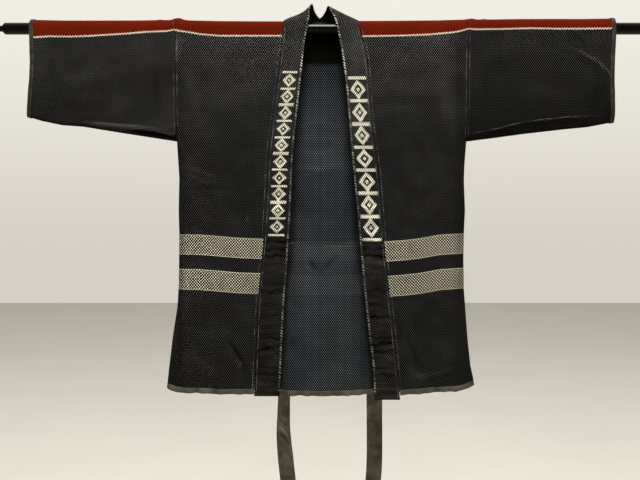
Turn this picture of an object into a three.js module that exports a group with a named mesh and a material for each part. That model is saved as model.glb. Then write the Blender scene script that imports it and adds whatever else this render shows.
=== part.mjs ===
// A Japanese fireman's coat of quilted cotton, hanging flat on a black rod.
// Millimetres, +Z up. The origin is on the rod's axis at the coat's middle, and the front faces -Y.
// "right" and "left" are the wearer's, so the right half lies at -X.
import * as THREE from 'three';

// Cloth walls and clearances
const WALL = 2;
const BAND_WALL = 3.5;
const BINDING_WALL = 1;
const TIE_WALL = 2.5;
const SEAM_GAP = 0.3;
const BAND_GAP = 0.5;

// The rod that passes through both sleeves
const ROD_RADIUS = 12.5;
const ROD_RIGHT_END = -674;
const ROD_LEFT_END = 690;
const ROD_CHAMFER = 6;
const ROD_STUB_RADIUS = 6.4;
const ROD_STUB = 20;
const ROD_SIDES = 24;
const ROD_CLEARANCE = 0.8;

// The middle of the cloth runs over the rod at this radius, and hangs at these depths lower down
const OVER_ROD = ROD_RADIUS + ROD_CLEARANCE + WALL / 2;
const FALL = { front: 5, back: 3, reach: 380 };

// Side seams and underarms: depth of the cloth's middle at the seam, and how far the rounding runs
const SIDE_DEPTH = WALL / 2 + SEAM_GAP / 2;
const SIDE_ROUND = 52;
const ARMPIT = -242;
const UNDERARM_ROUND = 62;
const UNDERARM_DEPTH = { armhole: 2, cuff: 3.6 };

// Bindings and the lift that makes room for one inside the cuff
const HEM_BINDING = 11.5;
const HEM_LEVEL = -770;
const ABOVE_HEM = -715;
const CUFF_BINDING = 9.5;
const CUFF_LIFT = 1.5;
const CUFF_LIFT_REACH = 90;
const BINDING_CLEARANCE = 0.3;

// Everything that differs between the two halves, as distances from the middle
const HALVES = {
  right: {
    sign: -1,
    shoulderSeam: 309,
    armpitSeam: 306,
    cuffTop: 620,
    cuffBottom: 626,
    neckWidth: 77,
    bandEnd: -783,
    side: [
      { z: -790, x: 328 },
      { z: -727, x: 322 },
      { z: -655, x: 313 },
      { z: -593, x: 304 },
      { z: -542, x: 301 },
      { z: -440, x: 299 },
      { z: -321, x: 300 },
      { z: -242, x: 306 },
    ],
    hem: [
      { x: 0, z: -785 },
      { x: 142, z: -781 },
      { x: 214, z: -782 },
      { x: 276, z: -777 },
      { x: 303, z: -773 },
      { x: 328, z: -768 },
    ],
    underarm: [
      { x: 306, z: -242 },
      { x: 422, z: -224 },
      { x: 509, z: -210 },
      { x: 552, z: -207 },
      { x: 596, z: -198 },
      { x: 626, z: -189 },
    ],
    bandSeam: [
      { z: -783, x: 140 },
      { z: -672, x: 137 },
      { z: -563, x: 131 },
      { z: -441, x: 119 },
      { z: -261, x: 109 },
      { z: -159, x: 96 },
      { z: -28, x: 80.5 },
      { z: 0, x: 79 },
    ],
    bandEdge: [
      { z: -783, x: 85.5 },
      { z: -585, x: 76 },
      { z: -441, x: 65 },
      { z: -261, x: 57 },
      { z: -159, x: 46 },
      { z: -93, x: 39 },
      { z: -29, x: 32 },
      { z: 15, x: 24.5 },
      { z: 48, x: 17 },
    ],
  },
  left: {
    sign: 1,
    shoulderSeam: 316,
    armpitSeam: 313,
    cuffTop: 629,
    cuffBottom: 625,
    neckWidth: 82,
    bandEnd: -791,
    side: [
      { z: -790, x: 326 },
      { z: -727, x: 318 },
      { z: -668, x: 313 },
      { z: -598, x: 308 },
      { z: -559, x: 305 },
      { z: -436, x: 302 },
      { z: -293, x: 305 },
      { z: -242, x: 313 },
    ],
    hem: [
      { x: 0, z: -785 },
      { x: 176, z: -783 },
      { x: 233, z: -776 },
      { x: 286, z: -774 },
      { x: 303, z: -772 },
      { x: 326, z: -765 },
    ],
    underarm: [
      { x: 313, z: -242 },
      { x: 368, z: -235 },
      { x: 434, z: -226 },
      { x: 521, z: -216 },
      { x: 573, z: -211 },
      { x: 625, z: -201 },
    ],
    bandSeam: [
      { z: -791, x: 172.5 },
      { z: -737, x: 166 },
      { z: -650, x: 158 },
      { z: -572, x: 149 },
      { z: -441, x: 135 },
      { z: -311, x: 125 },
      { z: -201, x: 110 },
      { z: -71, x: 101 },
      { z: -20, x: 90 },
      { z: 0, x: 84 },
    ],
    bandEdge: [
      { z: -791, x: 115 },
      { z: -737, x: 114 },
      { z: -628, x: 101 },
      { z: -497, x: 88 },
      { z: -420, x: 82 },
      { z: -311, x: 71 },
      { z: -202, x: 62 },
      { z: -115, x: 55 },
      { z: -72, x: 49 },
      { z: -7, x: 38 },
      { z: 46, x: 20 },
    ],
  },
};

// Levels of a body length, from the front hem up to the rod, over it, and down the back
const LOW_FRONT_LEVELS = [HEM_LEVEL, ABOVE_HEM, -640, -560, -480, -400, -330, -280];
const FRONT_LEVELS = [...LOW_FRONT_LEVELS, -242, -222, -180, -135, -90, -45, 0];
const OVER_ANGLES = [30, 60, 90, 120, 150];
const HIGH_BACK_LEVELS = [0, -9, -16, -21, -24.5, -45, -90, -150, -200, -222, -242];
const BACK_LEVELS = [...HIGH_BACK_LEVELS, ...[...LOW_FRONT_LEVELS].reverse()];
const NECK_DEPTH = -24.5;

// The neck seam as a share of the neck's half width: over the rod by angle, then behind it by level
const NECK_OVER = [
  { angle: 0, share: 1.025 },
  { angle: 30, share: 1.02 },
  { angle: 60, share: 1.01 },
  { angle: 90, share: 1 },
  { angle: 120, share: 0.9 },
  { angle: 150, share: 0.78 },
  { angle: 180, share: 0.65 },
];
const NECK_BACK = [
  { z: -24.5, share: 0 },
  { z: -21, share: 0.17 },
  { z: -16, share: 0.34 },
  { z: -9, share: 0.5 },
  { z: 0, share: 0.65 },
];

// How far the collar's free edge stands above its seam, going up the front
const FREE_RISE = [
  { z: -791, rise: 0 },
  { z: -180, rise: 0 },
  { z: -90, rise: 9 },
  { z: -45, rise: 18 },
  { z: 0, rise: 27 },
];

// The collar's free edge where it folds over the crest and sinks behind the neck
const CREST_EDGE = [
  { angle: 30, x: 20.5, y: -12, z: 36 },
  { angle: 60, x: 18, y: -8, z: 43 },
  { angle: 90, x: 16.5, y: -1, z: 46.2 },
  { angle: 120, x: 15, y: 6, z: 44 },
  { angle: 150, x: 13, y: 11, z: 39 },
];
const SUNK_EDGE = [
  { level: 0, x: 10.5, y: 14, z: 33 },
  { level: -9, x: 8, y: 15.5, z: 28.5 },
  { level: -16, x: 5, y: 16, z: 25 },
  { level: -21, x: 1, y: 16.3, z: 22.5 },
];
const COLLAR_MIDDLE = { x: -3, y: 16.5, z: 21 };

// Largest soft folds: the line that each follows, its width, and how far it stands out
const FOLDS = [
  { face: 'front', half: 'right', topX: 205, topZ: -70, lowX: 190, lowZ: -780, width: 34, out: 2.6 },
  { face: 'front', half: 'right', topX: 262, topZ: -150, lowX: 250, lowZ: -780, width: 26, out: -2.2 },
  { face: 'front', half: 'left', topX: 190, topZ: -110, lowX: 232, lowZ: -780, width: 38, out: 2.8 },
  { face: 'front', half: 'left', topX: 268, topZ: -190, lowX: 280, lowZ: -780, width: 24, out: -2 },
  { face: 'back', half: 'right', topX: 90, topZ: -120, lowX: 120, lowZ: -790, width: 42, out: 3.4 },
  { face: 'back', half: 'right', topX: 210, topZ: -200, lowX: 225, lowZ: -790, width: 34, out: -2.4 },
  { face: 'back', half: 'left', topX: 100, topZ: -90, lowX: 105, lowZ: -790, width: 40, out: 3 },
  { face: 'back', half: 'left', topX: 200, topZ: -220, lowX: 240, lowZ: -790, width: 36, out: -2.6 },
];
const FOLD_FADE = 120;

// The two ties, sewn to the back at the waist and hanging below the hem
const TIE_WIDTH = 32;
const TIES = {
  right: [
    { z: -440, x: -77, out: 1.6, turn: 0 },
    { z: -470, x: -77, out: 2, turn: 1 },
    { z: -560, x: -78, out: 7, turn: 8 },
    { z: -650, x: -78, out: 11, turn: 20 },
    { z: -720, x: -78, out: 15, turn: 36 },
    { z: -785, x: -77.5, out: 18, turn: 48 },
    { z: -840, x: -77, out: 17, turn: 46 },
    { z: -880, x: -74, out: 15, turn: 24 },
    { z: -920, x: -71, out: 14, turn: 8 },
    { z: -965, x: -68.5, out: 13, turn: 2 },
    { z: -1030, x: -67, out: 12, turn: 6 },
    { z: -1104, x: -67, out: 11, turn: 10 },
  ],
  left: [
    { z: -440, x: 113, out: 1, turn: 0 },
    { z: -470, x: 113, out: 1.2, turn: -1 },
    { z: -560, x: 114, out: 6, turn: -6 },
    { z: -650, x: 115, out: 8, turn: -10 },
    { z: -720, x: 115, out: 9.5, turn: -12 },
    { z: -785, x: 115, out: 10, turn: -8 },
    { z: -850, x: 115, out: 10, turn: -4 },
    { z: -920, x: 115.5, out: 10, turn: 4 },
    { z: -965, x: 115, out: 10, turn: 6 },
    { z: -1040, x: 114, out: 9, turn: 2 },
    { z: -1112, x: 113, out: 8, turn: -4 },
  ],
};

// Columns across a body length, as shares from its inner edge to its outer edge
const BODY_COLUMNS = [0, 0.14, 0.28, 0.42, 0.55, 0.67, 0.78, 0.87, 0.94, 1];
const BAND_COLUMNS = [0, 0.33, 0.67, 1];
const SLEEVE_STEPS = 9;
const SLEEVE_LEVELS = [0, 0.16, 0.34, 0.52, 0.68, 0.8, 0.9, 0.96];
const UNDERARM_ANGLES = [0, 45, 90, 135, 180];

const COLOURS = {
  cloth: { color: 0x242423, roughness: 0.92, metalness: 0 },
  band: { color: 0x22221f, roughness: 0.92, metalness: 0 },
  binding: { color: 0x45433a, roughness: 0.88, metalness: 0 },
  tie: { color: 0x4a4539, roughness: 0.88, metalness: 0 },
  rod: { color: 0x15140f, roughness: 0.35, metalness: 0.2 },
};

const radians = THREE.MathUtils.degToRad;
const clamp = THREE.MathUtils.clamp;
const lerp = THREE.MathUtils.lerp;

// Reads a table with ascending keys, in straight steps between its rows
function lookUp(rows, key, at, column) {
  if (at <= rows[0][key]) {
    return rows[0][column];
  }
  for (let i = 1; i < rows.length; i += 1) {
    const low = rows[i - 1];
    const high = rows[i];
    if (at <= high[key]) {
      return lerp(low[column], high[column], (at - low[key]) / (high[key] - low[key]));
    }
  }
  return rows[rows.length - 1][column];
}

// Rises from 0 to 1, steep at first and level at the end
function swell(share) {
  const t = clamp(share, 0, 1);
  return t * (2 - t);
}

// Rises from 0 to 1, level at both ends
function ease(share) {
  const t = clamp(share, 0, 1);
  return t * t * (3 - 2 * t);
}

// How far the soft folds move the cloth outwards at a place on one face
function foldAt(face, halfName, x, z) {
  let out = 0;
  for (const fold of FOLDS) {
    if (fold.face !== face || fold.half !== halfName) {
      continue;
    }
    const along = clamp((fold.topZ - z) / (fold.topZ - fold.lowZ), 0, 1);
    const away = (x - lerp(fold.topX, fold.lowX, along)) / fold.width;
    out += fold.out * Math.exp(-away * away) * ease((fold.topZ - z) / FOLD_FADE);
  }
  return out;
}

// Depth of the cloth's middle where nothing pulls it in
function hangingDepth(face, z) {
  return OVER_ROD + FALL[face] * ease(-z / FALL.reach);
}

// The x of the seam between body and sleeve at a level, and of the side seam below the armpit
function outerEdge(half, z) {
  if (z < ARMPIT) {
    return lookUp(half.side, 'z', z, 'x');
  }
  return lerp(half.shoulderSeam, half.armpitSeam, clamp(z / ARMPIT, 0, 1));
}

// The x of the body's inner edge: the band's seam in front, the neck seam, then the centre back
function innerEdge(half, row) {
  if (row.face === 'front') {
    return lookUp(half.bandSeam, 'z', row.level, 'x');
  }
  if (row.face === 'over') {
    return half.neckWidth * lookUp(NECK_OVER, 'angle', row.angle, 'share');
  }
  return Math.max(SEAM_GAP / 2, half.neckWidth * lookUp(NECK_BACK, 'z', row.level, 'share'));
}

// Depth of a body sheet's middle, closing in towards the side seam and the underarm
function bodyDepth(face, halfName, x, z) {
  const half = HALVES[halfName];
  const full = hangingDepth(face, z) + foldAt(face, halfName, x, z);
  const ringBottom = ARMPIT + UNDERARM_DEPTH.armhole + WALL / 2;
  let edge = SIDE_DEPTH;
  if (z > ringBottom) {
    edge = lerp(UNDERARM_DEPTH.armhole, full, swell((z - ringBottom) / UNDERARM_ROUND));
  }
  return lerp(edge, full, swell((outerEdge(half, z) - x) / SIDE_ROUND));
}

// The hem hangs at its own level at each x, and the cloth above stretches with it
function settledLevel(half, x, level) {
  const drop = lookUp(half.hem, 'x', x, 'z') + BINDING_WALL + BINDING_CLEARANCE - HEM_LEVEL;
  return level + drop * ease((ARMPIT - level) / (ARMPIT - HEM_LEVEL));
}

// A point on the middle of a body length, moved out by lift along the sheet's own facing
function bodyPoint(halfName, row, x, lift) {
  const half = HALVES[halfName];
  if (row.face === 'over') {
    const radius = OVER_ROD + lift;
    const turn = radians(row.angle);
    return new THREE.Vector3(half.sign * x, -radius * Math.cos(turn), radius * Math.sin(turn));
  }
  const z = settledLevel(half, x, row.level);
  const depth = bodyDepth(row.face, halfName, x, z) + lift;
  return new THREE.Vector3(half.sign * x, row.face === 'front' ? -depth : depth, z);
}

function lengthRows() {
  const front = FRONT_LEVELS.map((level) => ({ face: 'front', level }));
  const over = OVER_ANGLES.map((angle) => ({ face: 'over', angle }));
  const back = BACK_LEVELS.map((level) => ({ face: 'back', level }));
  return [...front, ...over, ...back];
}

// Joins two grids of points into one closed wall; a tube's columns close on themselves
function closedWall(name, outer, inner, look, isTube = false) {
  const rows = outer.length;
  const columns = outer[0].length;
  const points = [...outer.flat(), ...inner.flat()];
  const faces = [];
  const at = (layer, i, j) => layer * rows * columns + i * columns + (j % columns);
  const quad = (a, b, c, d) => faces.push(a, b, c, a, c, d);
  const across = isTube ? columns : columns - 1;
  for (let i = 0; i < rows - 1; i += 1) {
    for (let j = 0; j < across; j += 1) {
      quad(at(0, i, j), at(0, i, j + 1), at(0, i + 1, j + 1), at(0, i + 1, j));
      quad(at(1, i, j), at(1, i + 1, j), at(1, i + 1, j + 1), at(1, i, j + 1));
    }
  }
  for (let j = 0; j < across; j += 1) {
    quad(at(0, 0, j), at(1, 0, j), at(1, 0, j + 1), at(0, 0, j + 1));
    quad(at(0, rows - 1, j), at(0, rows - 1, j + 1), at(1, rows - 1, j + 1), at(1, rows - 1, j));
  }
  if (!isTube) {
    for (let i = 0; i < rows - 1; i += 1) {
      quad(at(0, i, 0), at(0, i + 1, 0), at(1, i + 1, 0), at(1, i, 0));
      quad(at(0, i, across), at(1, i, across), at(1, i + 1, across), at(0, i + 1, across));
    }
  }
  return closedMesh(name, points, faces, look);
}

// Makes the mesh, with its faces turned to point outwards
function closedMesh(name, points, faces, look) {
  let volume = 0;
  for (let i = 0; i < faces.length; i += 3) {
    const [a, b, c] = [points[faces[i]], points[faces[i + 1]], points[faces[i + 2]]];
    volume += a.dot(new THREE.Vector3().crossVectors(b, c));
  }
  const index = volume < 0 ? faces.slice().reverse() : faces;
  const geometry = new THREE.BufferGeometry();
  geometry.setAttribute('position', new THREE.Float32BufferAttribute(points.flatMap((p) => p.toArray()), 3));
  geometry.setIndex(index);
  geometry.computeVertexNormals();
  const mesh = new THREE.Mesh(geometry, new THREE.MeshStandardMaterial(look));
  mesh.name = name;
  return mesh;
}

// One body length: front hem, shoulder and back hem in one strip of cloth
function bodyLength(halfName) {
  const half = HALVES[halfName];
  const grid = (lift) => lengthRows().map((row) => {
    const inner = innerEdge(half, row);
    return BODY_COLUMNS.map((share) => {
      const level = row.face === 'over' ? 0 : row.level;
      return bodyPoint(halfName, row, lerp(inner, outerEdge(half, level), share), lift);
    });
  });
  return closedWall(`body_${halfName}`, grid(WALL / 2), grid(-WALL / 2), COLOURS.cloth);
}

// The middle of a sleeve's ring: over the rod, down the front, round the underarm and up the back
function sleeveRing(halfName, share) {
  const half = HALVES[halfName];
  const outwards = (z) => {
    const seam = outerEdge(half, Math.max(z, ARMPIT)) + SEAM_GAP;
    const cuff = lerp(half.cuffTop, half.cuffBottom, clamp(z / ARMPIT, 0, 1));
    return lerp(seam, cuff - BINDING_WALL - BINDING_CLEARANCE, share);
  };
  const reach = outwards(ARMPIT);
  const depth = lerp(UNDERARM_DEPTH.armhole, UNDERARM_DEPTH.cuff, share);
  const bottom = lookUp(half.underarm, 'x', reach, 'z') + depth + WALL / 2;
  const lift = CUFF_LIFT * ease(1 - (half.cuffTop - reach) / CUFF_LIFT_REACH);
  const point = (y, z) => new THREE.Vector3(half.sign * outwards(z), y, z);
  const sheet = (face, fraction) => {
    const z = bottom * fraction;
    const full = hangingDepth(face, z) + lift;
    const y = lerp(depth, full, swell((z - bottom) / UNDERARM_ROUND));
    return point(face === 'front' ? -y : y, z);
  };
  const over = [...OVER_ANGLES].reverse().map((angle) => {
    const radius = OVER_ROD + lift;
    return point(-radius * Math.cos(radians(angle)), radius * Math.sin(radians(angle)));
  });
  const front = SLEEVE_LEVELS.map((fraction) => sheet('front', fraction));
  const under = UNDERARM_ANGLES.map((angle) => {
    const turn = radians(angle);
    return point(-depth * Math.cos(turn), bottom - depth * Math.sin(turn));
  });
  const back = [...SLEEVE_LEVELS].reverse().map((fraction) => sheet('back', fraction));
  return [...over, ...front, ...under, ...back];
}

// Moves a ring's points out of the ring, square to it and without leaving their own x
function ringMovedOut(ring, distance) {
  return ring.map((point, i) => {
    const before = ring[(i + ring.length - 1) % ring.length];
    const after = ring[(i + 1) % ring.length];
    const facing = new THREE.Vector3(0, after.z - before.z, before.y - after.y).normalize();
    return point.clone().addScaledVector(facing, distance);
  });
}

function sleeve(halfName) {
  const rings = [];
  for (let step = 0; step <= SLEEVE_STEPS; step += 1) {
    rings.push(sleeveRing(halfName, step / SLEEVE_STEPS));
  }
  const outer = rings.map((ring) => ringMovedOut(ring, WALL / 2));
  const inner = rings.map((ring) => ringMovedOut(ring, -WALL / 2));
  return closedWall(`sleeve_${halfName}`, outer, inner, COLOURS.cloth, true);
}

// A ring on the straight stretch of cloth between the last two rings of a sleeve
function ringByCuff(halfName, distance) {
  const last = sleeveRing(halfName, 1);
  const before = sleeveRing(halfName, 1 - 1 / SLEEVE_STEPS);
  return last.map((point, i) => {
    return point.lerp(before[i], distance / Math.abs(before[i].x - point.x));
  });
}

// The binding laid round a cuff: up the outside, over the edge and back down the inside
function cuffBinding(halfName) {
  const sign = HALVES[halfName].sign;
  const near = WALL / 2 + BINDING_CLEARANCE;
  const far = near + BINDING_WALL;
  const tip = BINDING_CLEARANCE + BINDING_WALL;
  const along = (distance) => ringMovedOut(ringByCuff(halfName, CUFF_BINDING - tip), distance);
  const past = (distance, reach) => ringMovedOut(ringByCuff(halfName, 0), distance).map((point) => {
    return point.setX(point.x + sign * reach);
  });
  const outside = [along(far), past(far, tip), past(-far, tip), along(-far)];
  const inside = [along(near), past(near, BINDING_CLEARANCE), past(-near, BINDING_CLEARANCE), along(-near)];
  return closedWall(`cuff_binding_${halfName}`, outside, inside, COLOURS.binding, true);
}

// A point of a body length between two of its columns, on the straight line that joins them
function stripPoint(halfName, row, share, lift) {
  const half = HALVES[halfName];
  const inner = innerEdge(half, row);
  const outer = outerEdge(half, row.level);
  const next = Math.max(1, BODY_COLUMNS.findIndex((column) => column >= share));
  const [low, high] = [BODY_COLUMNS[next - 1], BODY_COLUMNS[next]];
  const start = bodyPoint(halfName, row, lerp(inner, outer, low), lift);
  const end = bodyPoint(halfName, row, lerp(inner, outer, high), lift);
  return start.lerp(end, (share - low) / (high - low));
}

// A point of the hem's edge, raised along the cloth or dropped below it
function hemPoint(place, lift, rise) {
  const edge = stripPoint(place.halfName, { face: place.face, level: HEM_LEVEL }, place.share, lift);
  if (rise < 0) {
    return edge.setZ(edge.z + rise);
  }
  const above = stripPoint(place.halfName, { face: place.face, level: ABOVE_HEM }, place.share, lift);
  return edge.lerp(above, rise / (above.z - edge.z));
}

// The binding laid round a stretch of hem, through a list of places along it
function hemBinding(name, places) {
  const near = WALL / 2 + BINDING_CLEARANCE;
  const far = near + BINDING_WALL;
  const drop = -(BINDING_CLEARANCE + BINDING_WALL);
  const top = HEM_BINDING + drop;
  const outside = places.map((place) => [
    hemPoint(place, far, top),
    hemPoint(place, far, drop),
    hemPoint(place, -far, drop),
    hemPoint(place, -far, top),
  ]);
  const inside = places.map((place) => [
    hemPoint(place, near, top),
    hemPoint(place, near, -BINDING_CLEARANCE),
    hemPoint(place, -near, -BINDING_CLEARANCE),
    hemPoint(place, -near, top),
  ]);
  return closedWall(name, outside, inside, COLOURS.binding);
}

// Places along the hem of one face; the last is where the binding's inner leg just clears the other face
function hemPlaces(face, halfName) {
  const leg = WALL / 2 + BINDING_CLEARANCE + BINDING_WALL + SEAM_GAP;
  const lastBut = BODY_COLUMNS[BODY_COLUMNS.length - 2];
  const row = { face, level: HEM_LEVEL };
  const depth = Math.abs(stripPoint(halfName, row, lastBut, 0).y);
  const stop = lerp(1, lastBut, (leg - SIDE_DEPTH) / (depth - SIDE_DEPTH));
  return [...BODY_COLUMNS.slice(0, -1), stop].map((share) => ({ face, halfName, share }));
}

function hemBindings() {
  const fronts = ['right', 'left'].map((halfName) => {
    return hemBinding(`hem_binding_front_${halfName}`, hemPlaces('front', halfName));
  });
  const right = hemPlaces('back', 'right').reverse();
  return [...fronts, hemBinding('hem_binding_back', [...right, ...hemPlaces('back', 'left')])];
}

// One half of the collar's middle: rows of points from its seam to its free edge, hem to neck
function collarHalf(halfName) {
  const half = HALVES[halfName];
  const lift = (BAND_WALL - WALL) / 2;
  const rows = [];
  const across = (seam, free) => {
    const inwards = free.clone().sub(seam).normalize().multiplyScalar(BAND_GAP);
    const start = seam.clone().add(inwards);
    rows.push(BAND_COLUMNS.map((share) => start.clone().lerp(free, share)));
  };
  for (const level of FRONT_LEVELS) {
    const row = { face: 'front', level };
    const seam = bodyPoint(halfName, row, innerEdge(half, row), lift);
    if (level === HEM_LEVEL) {
      seam.z = half.bandEnd;
    }
    const z = seam.z + lookUp(FREE_RISE, 'z', level, 'rise');
    const x = half.sign * lookUp(half.bandEdge, 'z', z, 'x');
    across(seam, new THREE.Vector3(x, seam.y, z));
  }
  for (const edge of CREST_EDGE) {
    const row = { face: 'over', angle: edge.angle };
    const seam = bodyPoint(halfName, row, innerEdge(half, row), lift);
    across(seam, new THREE.Vector3(half.sign * edge.x, edge.y, edge.z));
  }
  for (const edge of SUNK_EDGE) {
    const row = { face: 'back', level: edge.level };
    const seam = bodyPoint(halfName, row, innerEdge(half, row), lift);
    across(seam, new THREE.Vector3(half.sign * edge.x, edge.y, edge.z));
  }
  return rows;
}

// The collar: one long band from hem to hem, folded over a slanting crest beside the neck
function collar() {
  const right = collarHalf('right');
  const left = collarHalf('left');
  const lift = (BAND_WALL - WALL) / 2;
  const seam = new THREE.Vector3(0, hangingDepth('back', NECK_DEPTH) + lift, NECK_DEPTH + BAND_GAP);
  const free = new THREE.Vector3(COLLAR_MIDDLE.x, COLLAR_MIDDLE.y, COLLAR_MIDDLE.z);
  const middle = BAND_COLUMNS.map((share) => seam.clone().lerp(free, share));
  const rows = [...right, middle, ...left.reverse()];
  const facing = rows.map((row, i) => row.map((point, j) => {
    const before = rows[Math.max(i - 1, 0)][j];
    const after = rows[Math.min(i + 1, rows.length - 1)][j];
    const along = after.clone().sub(before);
    const across = row[row.length - 1].clone().sub(row[0]);
    return along.cross(across).normalize();
  }));
  const grid = (distance) => rows.map((row, i) => row.map((point, j) => {
    return point.clone().addScaledVector(facing[i][j], distance);
  }));
  return closedWall('collar', grid(BAND_WALL / 2), grid(-BAND_WALL / 2), COLOURS.band);
}

// A tie: a flat strip that turns as it hangs, carried clear of the back's cloth
function tie(halfName) {
  const grid = (side) => TIES[halfName].map((row) => {
    const turn = radians(row.turn);
    const across = new THREE.Vector3(Math.cos(turn), Math.sin(turn), 0);
    const facing = new THREE.Vector3(-Math.sin(turn), Math.cos(turn), 0);
    const cloth = bodyDepth('back', halfName, Math.abs(row.x), Math.max(row.z, HEM_LEVEL));
    const depth = cloth + row.out + TIE_WALL / 2;
    const middle = new THREE.Vector3(row.x, depth, row.z).addScaledVector(facing, side * TIE_WALL / 2);
    return [-TIE_WIDTH / 2, TIE_WIDTH / 2].map((reach) => middle.clone().addScaledVector(across, reach));
  });
  return closedWall(`tie_${halfName}`, grid(1), grid(-1), COLOURS.tie);
}

// The rod: a straight tube's outer form, with a chamfer and a narrower stub at each end
function rod() {
  const outline = [
    new THREE.Vector2(0, ROD_RIGHT_END - ROD_CHAMFER - ROD_STUB),
    new THREE.Vector2(ROD_STUB_RADIUS, ROD_RIGHT_END - ROD_CHAMFER - ROD_STUB),
    new THREE.Vector2(ROD_STUB_RADIUS, ROD_RIGHT_END - ROD_CHAMFER),
    new THREE.Vector2(ROD_RADIUS, ROD_RIGHT_END),
    new THREE.Vector2(ROD_RADIUS, ROD_LEFT_END),
    new THREE.Vector2(ROD_STUB_RADIUS, ROD_LEFT_END + ROD_CHAMFER),
    new THREE.Vector2(ROD_STUB_RADIUS, ROD_LEFT_END + ROD_CHAMFER + ROD_STUB),
    new THREE.Vector2(0, ROD_LEFT_END + ROD_CHAMFER + ROD_STUB),
  ];
  const mesh = new THREE.Mesh(
    new THREE.LatheGeometry(outline, ROD_SIDES),
    new THREE.MeshStandardMaterial(COLOURS.rod),
  );
  mesh.name = 'rod';
  mesh.rotation.z = -Math.PI / 2;
  return mesh;
}

const group = new THREE.Group();
for (const halfName of ['right', 'left']) {
  group.add(bodyLength(halfName), sleeve(halfName), cuffBinding(halfName));
}
group.add(collar(), ...hemBindings(), tie('right'), tie('left'), rod());

export default group;
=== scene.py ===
# %% [markdown]
# A fireman's coat of quilted cotton, hanging flat on a black rod.
# The imported frame is loaded first. It holds every solid at its real size, and each Blender piece below
# stands for one of its nodes. A scene could also be built with no frame, but then nothing would tell
# whether the sleeves still fit the rod. The box of the frame is kept.

# %% Load the frame
import math

import bpy
import numpy as np
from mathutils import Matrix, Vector, noise


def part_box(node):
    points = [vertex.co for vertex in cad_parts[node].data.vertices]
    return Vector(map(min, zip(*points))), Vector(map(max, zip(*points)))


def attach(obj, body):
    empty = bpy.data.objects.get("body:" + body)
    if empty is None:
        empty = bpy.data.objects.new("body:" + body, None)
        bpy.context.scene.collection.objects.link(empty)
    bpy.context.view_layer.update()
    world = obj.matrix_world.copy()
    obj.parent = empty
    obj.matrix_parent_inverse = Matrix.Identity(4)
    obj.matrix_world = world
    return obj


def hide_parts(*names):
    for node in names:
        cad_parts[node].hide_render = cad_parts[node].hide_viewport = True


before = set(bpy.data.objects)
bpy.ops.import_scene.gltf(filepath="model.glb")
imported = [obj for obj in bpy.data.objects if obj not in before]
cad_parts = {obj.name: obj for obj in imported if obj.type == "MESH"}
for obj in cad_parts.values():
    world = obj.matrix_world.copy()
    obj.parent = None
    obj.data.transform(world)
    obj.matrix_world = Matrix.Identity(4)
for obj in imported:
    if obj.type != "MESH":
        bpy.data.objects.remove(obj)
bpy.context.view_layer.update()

MM = 0.001
BODY = "root"

# %% [markdown]
# The camera stands level before the coat, at the height of the coat's waist, as a person with a
# tripod would stand. It could be placed by eye, but here its lens is worked out from the width that the
# picture takes in at the coat, so that sizes in the picture can be compared with the real ones.

# %% Place the camera
PICTURE_WIDTH = 1.3632
CAMERA_DISTANCE = 1.75
CAMERA_HEIGHT = -0.4527
CLOTH_FRONT = -0.010
camera_data = bpy.data.cameras.new("camera")
camera_data.sensor_width = 36
camera_data.lens = camera_data.sensor_width * CAMERA_DISTANCE / PICTURE_WIDTH
camera_data.clip_end = 50
camera = bpy.data.objects.new("camera", camera_data)
camera.location = (0, CLOTH_FRONT - CAMERA_DISTANCE, CAMERA_HEIGHT)
camera.rotation_euler = (math.radians(90), 0, 0)
bpy.context.collection.objects.link(camera)
bpy.context.scene.camera = camera
bpy.context.scene.view_settings.view_transform = "Standard"
print("lens", round(camera_data.lens, 1), "mm")

# %% [markdown]
# The maker's sizes. Both halves of the coat are cut alike but hang a little differently. One half could
# be modelled and mirrored, but a worn coat never hangs so evenly, so each half has its own short tables
# of where its edges lie. They are in millimetres, seen from the front, as distances from the middle.
# The wearer's right is at -X.

# %% Sizes of the cloth
WALL, BAND_WALL, BINDING_WALL, TIE_WALL = 2.0, 3.5, 1.0, 2.5
SEAM_GAP, BAND_GAP, BINDING_CLEARANCE = 0.3, 0.5, 0.3
ROD_RADIUS = (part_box("rod")[1][2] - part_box("rod")[0][2]) / 2 / MM
ROD_CLEARANCE = 0.8
OVER_ROD = ROD_RADIUS + ROD_CLEARANCE + WALL / 2
FALL = {"front": 5.0, "back": 3.0}
FALL_REACH = 380.0
SIDE_DEPTH, SIDE_ROUND = WALL / 2 + SEAM_GAP / 2, 52.0
ARMPIT, UNDERARM_ROUND = -242.0, 62.0
UNDERARM_DEPTH = (2.0, 3.6)
HEM_LEVEL, HEM_BINDING = -770.0, 11.5
CUFF_BINDING, CUFF_LIFT, CUFF_LIFT_REACH = 9.5, 1.5, 90.0

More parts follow.
